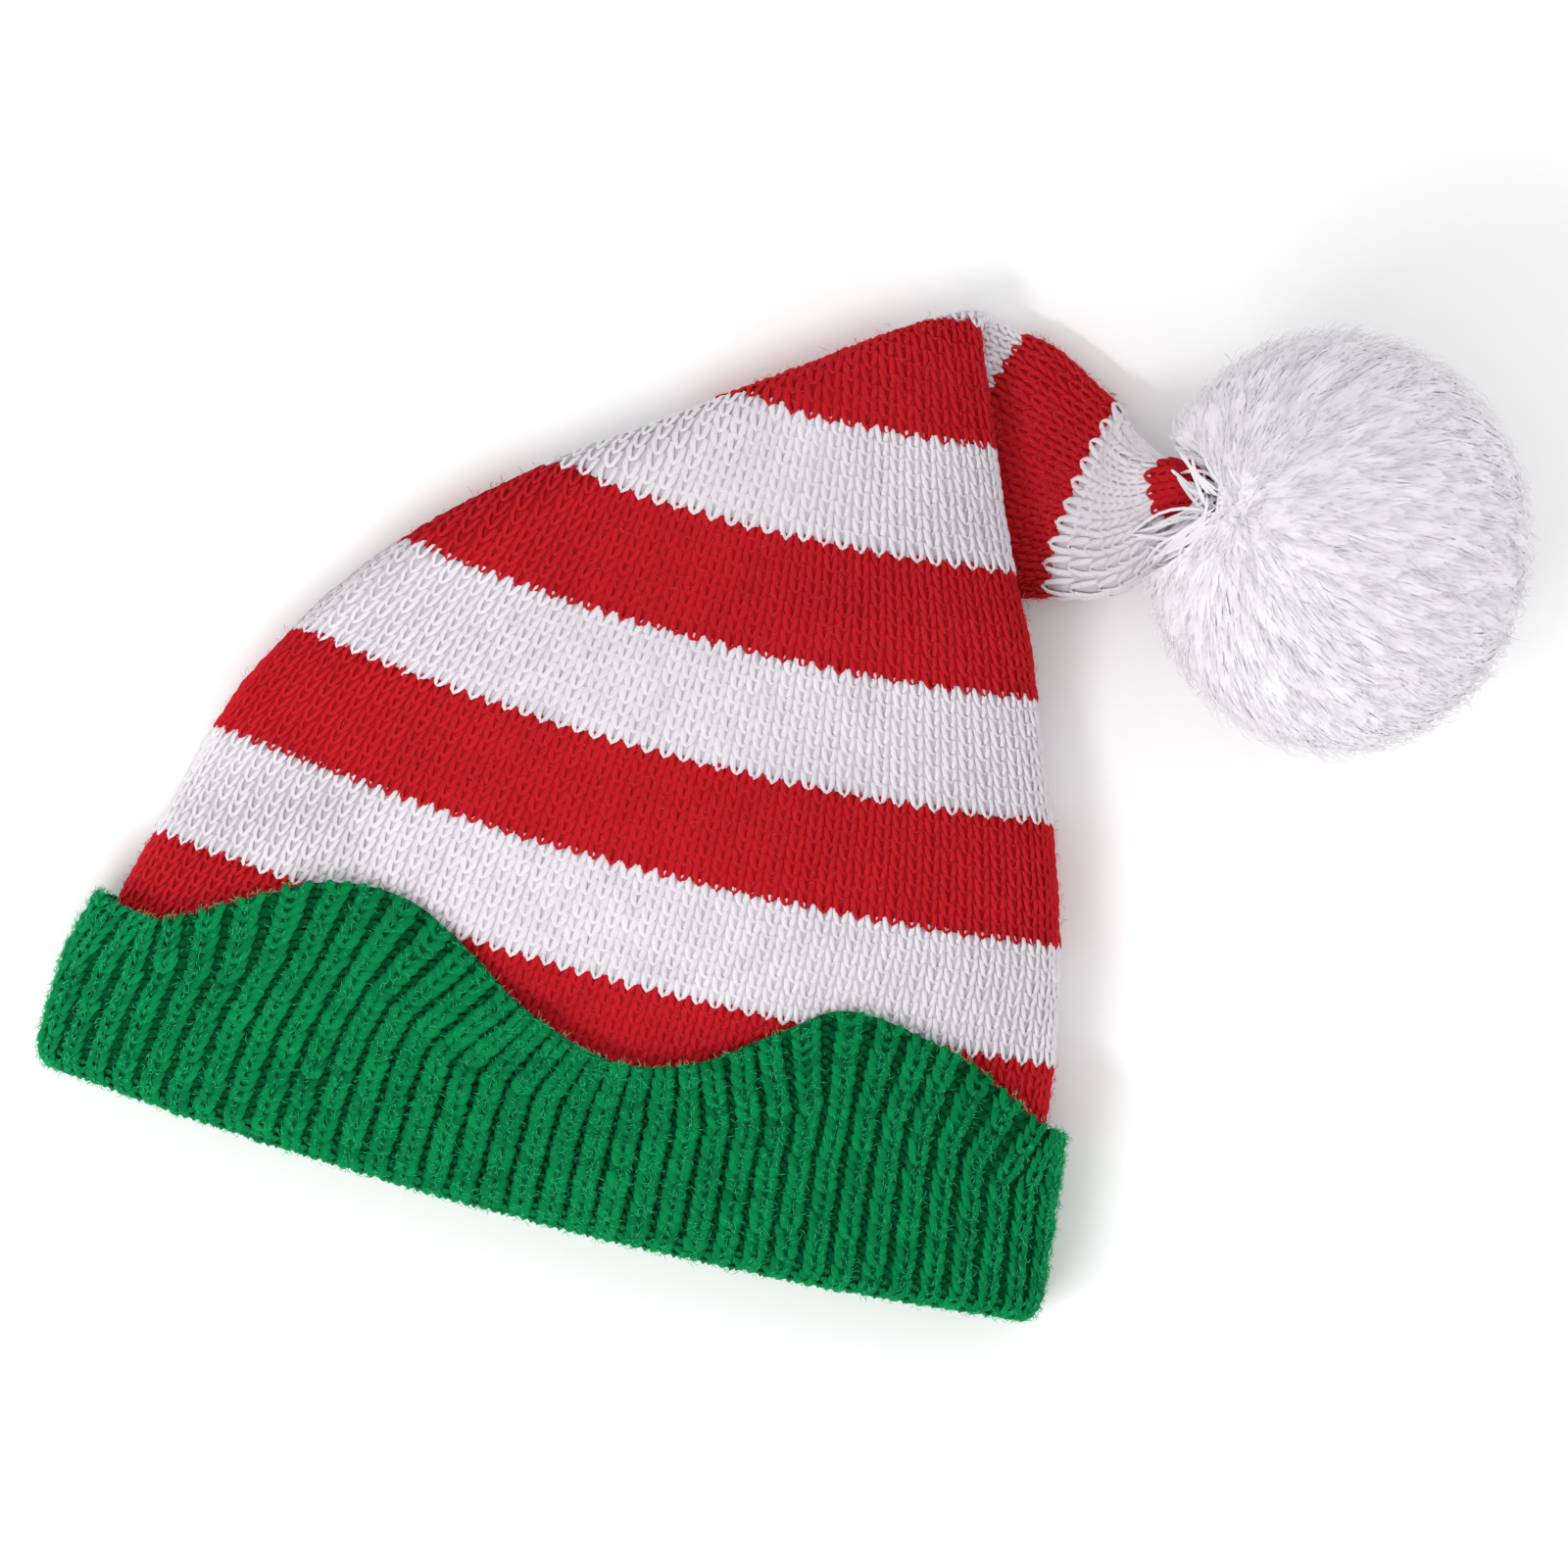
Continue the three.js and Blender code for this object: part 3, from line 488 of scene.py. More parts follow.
def crown_loops(start, end, first_row, stitches):
    """The loops of a stripe's stitches on its outside."""
    row_height = (end - start) / STRIPE_ROWS
    rows = []
    for row in range(STRIPE_ROWS):
        base = start + row * row_height
        if base < first_row:
            continue
        loop = whole_loop(FIRST_LOOP if row == 0 else LOOP)
        wale = np.arange(stitches)
        aside, higher, lifted, fatter = uneven_loops(stitches, LOOP_SPREADS)
        points, outs = [], []
        for up, out, lift in zip(loop["up"], loop["out"], loop["lift"]):
            nominal = base + up * row_height
            angle = girth_angle((wale + 0.5 + out + aside) / stitches, *crown_half(nominal))
            along = nominal + higher * row_height
            depth = LOOP_AXIS_DEPTH - lift - lifted
            here = crown_point(along, angle, depth)
            points.append(here)
            outs.append(unit(here - crown_point(along, angle, depth + FACING_STEP)))
        width = girth_lengths(*crown_half(base + 0.5 * row_height))[-1] / stitches
        wide = np.outer(fatter, loop["wide"] * width)
        high = np.outer(fatter, loop["high"] * min(1, width / STITCH_WIDTH))
        tones = np.clip(random.normal(LOOP_TONE, LOOP_TONE_SPREAD, stitches), 0, 1)
        rows.append((np.stack(points, axis=1), np.stack(outs, axis=1), wide, high, tones))
    axis, facing, wide, high, tones = (np.concatenate(column) for column in zip(*rows))
    return yarn_tubes(axis, facing, wide, high, LOOP_SIDES, tones)


def crown_ring(along, depths):
    """A ring of points round the cone, each at its depth."""
    half, height = crown_half(along)
    steps = len(depths)
    angle = girth_angle(np.arange(steps) / steps, half, height)
    return crown_point(np.full(steps, along), angle, depths)


def crown_backing(start, end, stitches, is_tip):
    """The wall behind the loops, plain outside and with purl bumps inside: a ring, or a cup at the tip."""
    columns = 2 * stitches
    level = np.ones(columns)
    outer_rows = np.linspace(start, end, STRIPE_ROWS + 1)
    outside = [crown_ring(along, BACKING_DEPTH * level) for along in outer_rows]
    inner_end = end - KNIT_WALL if is_tip else end
    # Painted shade: the outside of the backing is darkened, and inside the low places between the purl bumps
    # are darker than the bumps.
    inside, tones = [], [PAINTED_GAP_SHADE * level] * len(outside)
    for step, along in enumerate(np.linspace(start, inner_end, 2 * STRIPE_ROWS + 1)):
        bump = (np.arange(columns) + step) % 2
        inside.append(crown_ring(along, KNIT_WALL - WALL_INSET + PURL_BUMP * bump))
        tones.append(PAINTED_GAP_SHADE + (PURL_TONE - PAINTED_GAP_SHADE) * bump)
    if is_tip:
        rings = inside[::-1] + outside
        tones = tones[:len(outside) - 1:-1] + tones[:len(outside)]
    else:
        rings = outside + inside[::-1]
        tones = tones[:len(outside)] + tones[:len(outside) - 1:-1]
    points, triangles = ring_wall(np.array(rings), not is_tip)
    tone = np.concatenate(tones + [[PAINTED_GAP_SHADE] * (len(points) - len(rings) * columns)])
    return points, triangles, tone, np.zeros_like(points)


def stray_fibres(roots, outward, length, radius):
    """Fine fibres that lie loosely on a piece of knitting, each bent once, and none below the table."""
    count = len(roots)
    aside = unit(np.cross(outward, random.normal(0, 1, (count, 3))))
    onward = unit(aside + random.normal(0, FIBRE_BEND, (count, 3)))
    reach = length * random.uniform(*FIBRE_LENGTHS, (count, 1))
    middles = roots + 0.5 * reach * aside + outward * random.uniform(*FIBRE_BULGES, (count, 1))
    ends = middles + 0.5 * reach * onward
    end_rise = np.einsum("ij,ij->i", ends - roots, outward)
    ends += outward * np.maximum(FIBRE_END_RISE - end_rise, 0)[:, None]
    axis = np.stack([roots, middles, ends], axis=1)
    axis[..., 2] = np.maximum(axis[..., 2], radius)
    size = np.full((count, 3), radius)
    facing = np.repeat(outward[:, None], 3, axis=1)
    return yarn_tubes(axis, facing, size, size, FIBRE_SIDES, FIBRE_TONE)


def crown_fibres(start, end):
    """Stray fibres on a stripe's outside."""
    along = random.uniform(max(start, RED_FIBRES_START), end, RED_FIBRES)
    half, height = crown_half((start + end) / 2)
    angle = girth_angle(random.uniform(0, 1, RED_FIBRES), half, height)
    roots = crown_point(along, angle, np.full(RED_FIBRES, RED_FIBRE_ROOT))
    over = crown_point(along, angle, np.full(RED_FIBRES, RED_FIBRE_ROOT - FACING_STEP))
    return stray_fibres(roots, unit(over - roots), RED_FIBRE_LENGTH, RED_FIBRE_RADIUS)


stripe_start = CROWN_START
last_stripe = STRIPES[-1][0]
red_fibres = []
for stripe_name, stripe_slot, stripe_end in STRIPES:
    middle_girth = girth_lengths(*crown_half((stripe_start + stripe_end) / 2))[-1]
    stitch_count = max(FEWEST_STITCHES, round(middle_girth / STITCH_WIDTH))
    first_row = HIDDEN_BY_CUFF if stripe_start == CROWN_START else 0
    wall_start, wall_end = stripe_start + WALL_INSET, stripe_end - WALL_INSET
    stripe_parts = [
        crown_loops(stripe_start, stripe_end, first_row, stitch_count),
        crown_backing(wall_start, wall_end, stitch_count, stripe_name == last_stripe),
    ]
    if stripe_slot == "red_yarn" and stripe_name != last_stripe:
        red_fibres.append(crown_fibres(stripe_start, stripe_end))
    stripe_look = YARN_LOOKS[stripe_slot]
    stripe_piece = yarn_piece(stripe_name + "_knit", stripe_parts, stripe_look, KNIT_SOFTNESS)
    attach(stripe_piece, "root")
    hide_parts(stripe_name)
    stripe_start = stripe_end
# The loose red fibres are coloured lighter than the yarn, a painted highlight of light caught on them.
red_fuzz_highlight_look = yarn_material("red fuzz with painted highlight", (0.50, 0.02, 0.03), (0.72, 0.05, 0.065), 0.4, 0.2)
red_fuzz = yarn_piece("crown_fuzz", red_fibres, red_fuzz_highlight_look, KNIT_SOFTNESS)
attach(red_fuzz, "root")

# Cuff: a green band knitted in ribs, one plain wale and one purl wale by turns, turned up once on itself.
# Its upper edge is wavy, and near that edge the ribs turn to stand square to it.
# The crown's knitting goes on from the end of its inner leg and lies inside the outer one.
RIB_WALL = 3.2
CUFF_SECTIONS = table("along left right", [
    (0, -115.5, 115.5), (4, -116.8, 116.8), (16, -117, 115.9), (28, -116.2, 114.6),
    (40, -113, 113.2), (52, -109.5, 111.4), (62, -107, 110.3),
])
CUFF_HEIGHT = 38.5
CUFF_SAG = 6.5
CUFF_EDGE = table("turn along", [
    (0, 43), (0.024, 45), (0.058, 54.2), (0.085, 59.2), (0.13, 62.6), (0.16, 54.5), (0.195, 43.8),
    (0.232, 40), (0.282, 47), (0.311, 54.6), (0.351, 62.3), (0.391, 60.6), (0.424, 50.9), (0.454, 40.6),
    (0.473, 40.2), (0.5, 41.2), (0.53, 42), (0.575, 53), (0.62, 61), (0.675, 54), (0.715, 43.5),
    (0.745, 41), (0.775, 43.5), (0.815, 54), (0.87, 61), (0.93, 53), (0.97, 43.6), (1, 43),
])
CUFF_LEG_GAP = 0.7
CUFF_INSIDE = 2 * RIB_WALL + CUFF_LEG_GAP
CUFF_INNER_LEG = 31.6
CUFF_TURN = 4.0
CUFF_TURN_LENGTH = 5.9
INNER_REACH = CUFF_TURN_LENGTH + CUFF_INNER_LEG - CUFF_TURN
RIBS = 74
RIB_BEND_SHARE = 0.68
RIB_BEND_LIMIT = 1.2
RIB_BEND_SPAN = 0.01
RIB_COUNTER_BEND = 0.55
RIB_DRAW = 0.007
RIB_TWIST = 0.002
RIB_EDGE_ROUNDS = 3
RIB_END_INSET = 0.6
# Painted shade: the tone of the wall deep in the grooves between the ribs, and of the purl loops there.
PAINTED_GROOVE_SHADE = 0.2
RIB_GROOVE = 2.1
RIB_FADE_END, RIB_FADE_START = 3.0, 10.0
RIB_ROW = 2.42
RIB_SOFTNESS = 0.25
CUFF_FIBRES = 13000
CUFF_FIBRE_SPREAD = 0.17
CUFF_FIBRE_LENGTH, CUFF_FIBRE_RADIUS, CUFF_FIBRE_ROOT = 2.6, 0.085, 0.4
EDGE_FIBRES = 900
CUFF_GIRTH = 2 * (CUFF_SECTIONS["right"][0] - CUFF_SECTIONS["left"][0]) + CUFF_HEIGHT
# A loop of a rib's stitch, as for the crown. Up is a share of the row, out is a share of the ribs' pitch, and
# the rest is in millimetres.
RIB_LOOP = table("up out lift wide high", [
    (0, 0, -0.58, 0.84, 0.52),
    (0.14, 0.165, -0.12, 1.12, 0.75),
    (0.55, 0.222, 0, 1.27, 0.84),
    (1.05, 0.25, -0.16, 1.22, 0.74),
    (1.50, 0.23, -1.3, 0, 0),
])
RIB_AXIS_DEPTH = 0.85
RIB_SPREADS = (0.018, 0.06, 0.16, 0.08)
RIB_TONE, RIB_TONE_SPREAD = 0.75, 0.14
# A purl loop in the groove between two ribs. Half is a share of the ribs' pitch, the rest is in millimetres.
PURL_HALF, PURL_ARCH, PURL_DROOP, PURL_UNEVEN = 0.22, 0.7, 0.5, 0.15
PURL_WIDE, PURL_HIGH, PURL_END_INSET = 1.1, 0.7, 1.0
# Where the grooves run out at the mouth's edge, the purl loops take this lighter tone, with less painted
# shade.
MOUTH_PURL_TONE = 0.6
# The wall behind the loops, whose inner leg ends in a low ridge where the crown goes on.
RIB_BACKING_DEPTH = 1.2
BAND_WALL = RIB_WALL - WALL_INSET
BAND_OUTER_RINGS, BAND_INNER_RINGS = 13, 7
BAND_INNER_START = 0.15
BAND_EDGE_INSET, BAND_EDGE_DROP = 0.5, 0.5
BAND_LINING_SHARES, BAND_LINING_INSET = (RIB_BEND_SHARE, 0.85, 1), 0.3
LEG_GAP_END = CUFF_TURN_LENGTH + 1.0
INNER_END_LIFT = 1.0


def cuff_point(turn, along, depth):
    """A point of the cuff at a share of its girth, in millimetres from the mouth's middle on the table."""
    left = column_at(CUFF_SECTIONS, "left", along)
    right = column_at(CUFF_SECTIONS, "right", along)
    half = (right - left) / 2
    angle = girth_angle(turn, CUFF_SECTIONS["right"][0], CUFF_HEIGHT)
    place, up = loop_place(angle, 0.0)
    across = (half - depth) * place
    y = along - CUFF_SAG * (1 - (across / half) ** 2)
    z = loop_height(up, CUFF_HEIGHT, WAIST * CUFF_HEIGHT, depth)
    return np.stack([(left + right) / 2 + across, y, z], axis=-1)


def cuff_edge(turn):
    """How far the wavy edge stands from the mouth."""
    return column_at(CUFF_EDGE, "along", np.mod(turn, 1))


def drawn_in(turn, along):
    """Where round the girth a rib lies at a distance from the mouth. The front's ribs draw in a little."""
    return turn + (RIB_DRAW * np.cos(2 * math.pi * turn) - RIB_TWIST) * along / CUFF_HEIGHT


def rib_lean(turn):
    """How far round the girth a rib's top bends to stand square to the wavy edge. Where the edge rises to the
    right, it bends by only a part of that."""
    place = drawn_in(turn, cuff_edge(turn))
    rise = cuff_edge(place + RIB_BEND_SPAN) - cuff_edge(place - RIB_BEND_SPAN)
    slope = rise / (2 * RIB_BEND_SPAN * CUFF_GIRTH)
    slope = np.where(slope > 0, slope, RIB_COUNTER_BEND * slope)
    return slope * (1 - RIB_BEND_SHARE) * cuff_edge(place) / CUFF_GIRTH


def rib_edge(turn):
    """How far the wavy edge stands from the mouth at a rib's top."""
    lean = rib_lean(turn)
    edge = cuff_edge(drawn_in(turn, cuff_edge(turn)) - lean)
    for _ in range(RIB_EDGE_ROUNDS):
        edge = cuff_edge(drawn_in(turn, edge) - lean)
    return edge


def band_point(turn, reach, lift):
    """A point of the ribbed band. Reach runs from the mouth's turned edge, up the outer leg if it is positive
    and up the inner leg if it is negative, and lift stands out from the band's face."""
    lean = rib_lean(turn)
    edge = rib_edge(turn)
    side = np.where(reach >= 0, 1.0, -1.0)
    bend = np.clip(np.abs(reach) / CUFF_TURN_LENGTH, 0, 1) * math.pi / 2
    straight = np.maximum(np.abs(reach) - CUFF_TURN_LENGTH, 0)
    along = (CUFF_TURN + lift) * (1 - np.cos(bend)) - lift + straight
    depth = CUFF_INSIDE / 2 - side * (CUFF_INSIDE / 2 + lift) * np.sin(bend)
    bent = np.clip((along / edge - RIB_BEND_SHARE) / (1 - RIB_BEND_SHARE), 0, RIB_BEND_LIMIT)
    return cuff_point(drawn_in(turn, along) - lean * np.where(reach > 0, bent, 0), along, depth)


def rib_profile(phase, reach):
    """How deep the band lies in the groove between two ribs, which runs out round the mouth's edge."""
    full = ease(np.abs(reach), RIB_FADE_END, RIB_FADE_START)
    return RIB_GROOVE * full * ((1 - np.cos(2 * math.pi * phase)) / 2) ** 3


def outer_reach(turn):
    """The length of a rib on the outer leg, from the mouth's edge to the wavy edge."""
    return CUFF_TURN_LENGTH + rib_edge(turn) - CUFF_TURN


def rib_loops():
    """The loops of all the ribs, on the outer leg, round the mouth's edge and on the inner leg."""
    loop = whole_loop(RIB_LOOP)
    turns, starts, rows = [], [], []
    for rib in range(RIBS):
        for low, length in ((0.0, float(outer_reach(rib / RIBS))), (-1.0, INNER_REACH)):
            count = round(length / RIB_ROW)
            turns += [rib] * count
            starts += [low + row / count for row in range(count)]
            rows += [1 / count] * count
    turns, starts, rows = np.array(turns, float), np.array(starts), np.array(rows)
    loops = len(turns)
    aside, higher, lifted, fatter = uneven_loops(loops, RIB_SPREADS)
    points, outs = [], []
    for up, out, lift in zip(loop["up"], loop["out"], loop["lift"]):
        phase = out + aside
        place = (turns + phase) / RIBS
        share = np.clip(starts + (up + higher) * rows, -1, 1)
        reach = share * np.where(share > 0, outer_reach(place) - RIB_END_INSET, INNER_REACH)
        rise = lift + lifted - RIB_AXIS_DEPTH - rib_profile(phase, reach)
        here = band_point(place, reach, rise)
        points.append(here)
        outs.append(unit(band_point(place, reach, rise + FACING_STEP) - here))
    axis, facing = np.stack(points, axis=1), np.stack(outs, axis=1)
    wide, high = np.outer(fatter, loop["wide"]), np.outer(fatter, loop["high"])
    tones = np.clip(random.normal(RIB_TONE, RIB_TONE_SPREAD, loops), 0, 1)
    return yarn_tubes(axis, facing, wide, high, LOOP_SIDES, tones)


def purl_bumps():
    """The purl loops that lie across the grooves between the ribs."""
    turns, reaches = [], []
    for rib in range(RIBS):
        outer = float(outer_reach((rib + 0.5) / RIBS))
        for reach in np.arange(RIB_ROW / 2, outer - PURL_END_INSET, RIB_ROW):
            turns.append(rib + 0.5)
            reaches.append(reach)
    turns, reaches = np.array(turns), np.array(reaches) + random.normal(0, PURL_UNEVEN, len(turns))
    points = []
    for out in (-PURL_HALF, 0.0, PURL_HALF):
        arch = PURL_ARCH if out == 0 else 0
        lift = -RIB_BACKING_DEPTH - rib_profile(0.5 + out, reaches) + arch
        points.append(band_point((turns + out) / RIBS, reaches + PURL_DROOP * abs(out), lift))
    facing = unit(points[1] - (points[0] + points[2]) / 2)
    facing = np.repeat(facing[:, None], 3, axis=1)
    axis = np.stack(points, axis=1)
    size = np.ones((len(turns), 3))
    # Painted shade: the purl loops grow darker away from the mouth's edge, where the grooves deepen.
    from_mouth = ease(reaches, RIB_FADE_END, RIB_FADE_START)
    tones = MOUTH_PURL_TONE + (PAINTED_GROOVE_SHADE - MOUTH_PURL_TONE) * from_mouth
    return yarn_tubes(axis, facing, PURL_WIDE * size, PURL_HIGH * size, LOOP_SIDES, tones)


def band_backing():
    """The band's wall behind the legs: its outer leg, the turned edge, and its inner leg."""
    columns = 4 * RIBS
    turn = np.arange(columns) / columns
    phase = np.mod(turn * RIBS + 0.5, 1) - 0.5
    outer = outer_reach(turn)
    rings = []
    for share in np.linspace(1, 0, BAND_OUTER_RINGS):
        reach = share * (outer - BAND_EDGE_INSET)
        drop = BAND_EDGE_DROP * share ** 8
        rings.append(band_point(turn, reach, -RIB_BACKING_DEPTH - rib_profile(phase, reach) - drop))
    for share in np.linspace(BAND_INNER_START, 1, BAND_INNER_RINGS):
        reach = -share * INNER_REACH
        lift = -RIB_BACKING_DEPTH - rib_profile(phase, reach) if share < 1 else INNER_END_LIFT
        rings.append(band_point(turn, reach, lift))
    # Painted shade on the wall behind the legs; the lining between the two legs stays light.
    tones = [PAINTED_GROOVE_SHADE] * len(rings)
    leg_gap_middle = RIB_WALL + CUFF_LEG_GAP / 2
    rings.append(band_point(turn, -INNER_REACH, -BAND_WALL))
    rings.append(band_point(turn, LEG_GAP_END, -leg_gap_middle))
    for share in BAND_LINING_SHARES:
        rings.append(band_point(turn, share * (outer - BAND_LINING_INSET), -BAND_WALL))
    tones += [PURL_TONE] * (len(rings) - len(tones))
    points, triangles = ring_wall(np.array(rings), True)
    return points, triangles, np.repeat(tones, columns), np.zeros_like(points)


def band_fibres():
    """Stray fibres on the band's outer leg, and along its wavy edge."""
    ribs = random.integers(0, RIBS, CUFF_FIBRES) + random.normal(0, CUFF_FIBRE_SPREAD, CUFF_FIBRES)
    turn = np.concatenate([ribs / RIBS, random.uniform(0, 1, EDGE_FIBRES)])
    share = random.uniform(0, 1, CUFF_FIBRES + EDGE_FIBRES)
    share[CUFF_FIBRES:] = 1
    reach = share * (outer_reach(turn) - RIB_END_INSET)
    sink = CUFF_FIBRE_ROOT + rib_profile(turn * RIBS, reach)
    roots = band_point(turn, reach, -sink)
    outward = unit(band_point(turn, reach, -sink + FACING_STEP) - roots)
    upward = unit(band_point(turn, reach + FACING_STEP, -sink) - roots)
    outward[CUFF_FIBRES:] = unit(outward[CUFF_FIBRES:] + upward[CUFF_FIBRES:])
    return stray_fibres(roots, outward, CUFF_FIBRE_LENGTH, CUFF_FIBRE_RADIUS)


green_yarn = yarn_material("green yarn", (0.0005, 0.060, 0.019), (0.002, 0.225, 0.064), 0.45, 0.8)
cuff_piece = yarn_piece("cuff_ribs", [rib_loops(), purl_bumps(), band_backing()], green_yarn, RIB_SOFTNESS)
# The loose green fibres are coloured lighter than the yarn, a painted highlight of light caught on them.
green_fuzz_highlight_look = yarn_material("green fuzz with painted highlight", (0.006, 0.28, 0.095), (0.025, 0.46, 0.18), 0.4, 0.2)
cuff_fuzz = yarn_piece("cuff_fuzz", [band_fibres()], green_fuzz_highlight_look, KNIT_SOFTNESS)
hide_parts("cuff")
for piece in (cuff_piece, cuff_fuzz):
    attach(piece, "root")

# Pompom: a ball of cut white yarn, its strands tied together where the crown's tip is sewn in.
# From that tie they fan out over the ball and hide it, and their cut ends make its soft outline.
# It rests on the table beside the crown.
POMPOM_PLACE = np.array([137.0, 187.0, 42.0])
POMPOM_HALF = np.array([43.5, 47.0, 41.0])
POMPOM_TURN = math.radians(14.7)
POMPOM_CORE, POMPOM_CORE_TONE = 0.973, 0.75
POMPOM_SIDES = 3
TIP_START, TIP_END = 268, 312
TIP_STEP, FINE_TIP_STEP = 3.0, 1.5
TIP_RING_POINTS = 24
TIP_SHOWS_TO = 98.0
TIP_TOP = 44.0
TIP_HOLLOW = 0.5
TIP_PARTING = 4.0
TIP_CLEARANCE = 0.5
TIE_PLACE = np.array([111.0, 187.0, 75.0])
TIE_SPREAD = 0.10
# The tufts lie over by an angle. Their roots and ends are shares of the ball, and the spreads say how far the
# tufts differ, and the strands in each.
TUFTS = 640
TUFT_STRANDS = 9
TUFT_LIES, STRAND_LIE_SPREAD = (0.5, 0.95), 0.06
LIE_LIMIT = 0.85
TUFT_SPREAD, STRAND_SPREAD = 0.03, 0.045
TUFT_SWERVE, STRAND_SWERVE = 0.06, 0.03
STRAND_ROOTS = (0.962, 0.971)
STRAND_END, TUFT_END_SPREAD, STRAND_END_SPREAD = 0.982, 0.0015, 0.002
STRAND_TONE, TUFT_TONE_SPREAD, STRAND_TONE_SPREAD = 0.84, 0.08, 0.07
STRAND_WIDE = 0.52
STRAND_HIGH = 0.20
STRAND_SIZE_SPREAD, STRAND_TAPER = 0.12, 0.75
STRAND_STEPS = 6
STEEPEST_PARTING = 0.2
# Short strands that line the hollow for the tip.
LINING_STRANDS = 700
LINING_LENGTH = 7.0
LINING_LENGTHS, LINING_LIFTS = (0.6, 1.2), (0.5, 1.4)
LINING_SINK = 0.2
LINING_SPREAD = 0.25
LINING_FLATNESS = 0.6
LINING_TONE = 0.88
LINING_STEPS = 4
HOLLOW_SHARE = 0.985
LINING_LIMIT = 0.99
POMPOM_SOFTNESS = 0.85
TABLE_CLEARANCE = 0.5
# The strands at the tie, with the headings in degrees and the distances in millimetres that they run between.
TIE_STRANDS, TIE_HEADINGS, TIE_FAR = 84, (100, 260), (8, 19)
LOW_TIE_STRANDS, LOW_TIE_HEADINGS, LOW_TIE_FAR = 22, (202, 238), (15, 23)
TIE_NEAR = (0, 6)
OVER_TIP_HEADING, OVER_TIP_SHARE = -0.92, 0.55
TIE_BOW, TIE_SWERVE = 1.6, 2.5
TIE_SINK, TIE_UNEVEN, TIE_ARCH, TIE_START_SINK = 1.2, 0.8, 1.4, 3
TIE_FACING = (-0.4, 0.1, 1.0)
TIE_SIZE = 0.72 * STRAND_WIDE
TIE_SIDES = 4
TIE_TONE = 0.85
TIE_STEPS = 8
BALL_TOP_SHARE = 0.98
FUZZ = 4500
FUZZ_LIES = (0.1, 0.35)
FUZZ_ROOTS = (0.94, 0.96)
FUZZ_END, FUZZ_END_SPREAD = 1.02, 0.018
FUZZ_SWERVE = 0.08
FUZZ_RADIUS = 0.11
FUZZ_TONE = 0.95
FUZZ_STEPS = 4
random = np.random.default_rng(31)


def pompom_point(directions, reach):
    """Points in the ball, along directions from its middle, at a share of its size."""
    across, along, up = np.moveaxis(directions * POMPOM_HALF * reach[..., None], -1, 0)
    return np.stack([*turned(across, along, POMPOM_TURN), up], axis=-1) + POMPOM_PLACE


def pompom_direction(place):
    """The direction in which a place lies from the ball's middle, with the ball taken as round."""
    x, y, z = np.moveaxis(place - POMPOM_PLACE, -1, 0)
    return unit(np.stack([*turned(x, y, -POMPOM_TURN), z], axis=-1) / POMPOM_HALF)


def spread_directions(count, astray):
    """Directions spread evenly over a ball, each a little astray."""
    level = 1 - (2 * np.arange(count) + 1) / count
    spin = np.arange(count) * math.pi * (3 - math.sqrt(5))
    ring = np.sqrt(1 - level ** 2)
    even = np.stack([ring * np.cos(spin), ring * np.sin(spin), level], axis=1)
    return unit(even + random.normal(0, astray, even.shape))


def tip_balls(step):
    """The middles and sizes of balls that fill the crown's tip, a step apart along it."""
    balls = []
    for along in np.arange(TIP_START, TIP_END, step):
        ring = crown_ring(along, np.zeros(TIP_RING_POINTS))
        middle = ring.mean(axis=0)
        balls.append((middle, np.linalg.norm(ring - middle, axis=1).mean()))
    return balls


def tip_distance(points, opened):
    """How far points are from the crown's tip and, if opened, from the space over what shows of it."""
    nearest = np.full(points.shape[:-1], np.inf)
    for middle, radius in tip_balls(TIP_STEP):
        away = points - middle
        if opened and middle[0] < TIP_SHOWS_TO:
            away[..., 2] = np.minimum(away[..., 2], 0)
        nearest = np.minimum(nearest, np.linalg.norm(away, axis=-1) - radius)
    return nearest


def parting(points):
    """The share of its size that the ball keeps at points, less where it parts to let the crown's tip in."""
    return 1 - TIP_HOLLOW * ease(-tip_distance(points, True), -TIP_PARTING, 0)


def fanned_strands(ends, lie, astray, root_reach, end_reach, steps):
    """Paths of strands that leave the ball's core and lie away from the tie, out to their ends. Says which
    way each faces and which of them keep clear of the crown's tip."""
    pole = unit(pompom_direction(TIE_PLACE) + random.normal(0, TIE_SPREAD, ends.shape))
    towards = np.einsum("ij,ij->i", ends, pole)
    away = np.arccos(np.clip(towards, -1, 1))
    sideways = unit(ends - towards[:, None] * pole)
    across = np.cross(pole, sideways)
    t = np.linspace(0, 1, steps)
    angle = away[:, None] - np.minimum(lie, away * LIE_LIMIT)[:, None] * (1 - t)
    swerve = astray[:, None] * (1 - t)
    heading = np.cos(swerve)[..., None] * sideways[:, None] + np.sin(swerve)[..., None] * across[:, None]
    directions = np.cos(angle)[..., None] * pole[:, None] + np.sin(angle)[..., None] * heading
    reach = root_reach[:, None] + (end_reach - root_reach)[:, None] * (1 - (1 - t) ** 2)
    kept = parting(pompom_point(directions, reach))
    paths = pompom_point(directions, reach * kept)
    paths[..., 2] = np.maximum(paths[..., 2], TABLE_CLEARANCE)
    smooth = np.abs(np.diff(kept, axis=1)).max(axis=1) < STEEPEST_PARTING
    clear = tip_distance(paths, False).min(axis=1) > TIP_CLEARANCE
    return paths, unit(paths - POMPOM_PLACE), smooth & clear


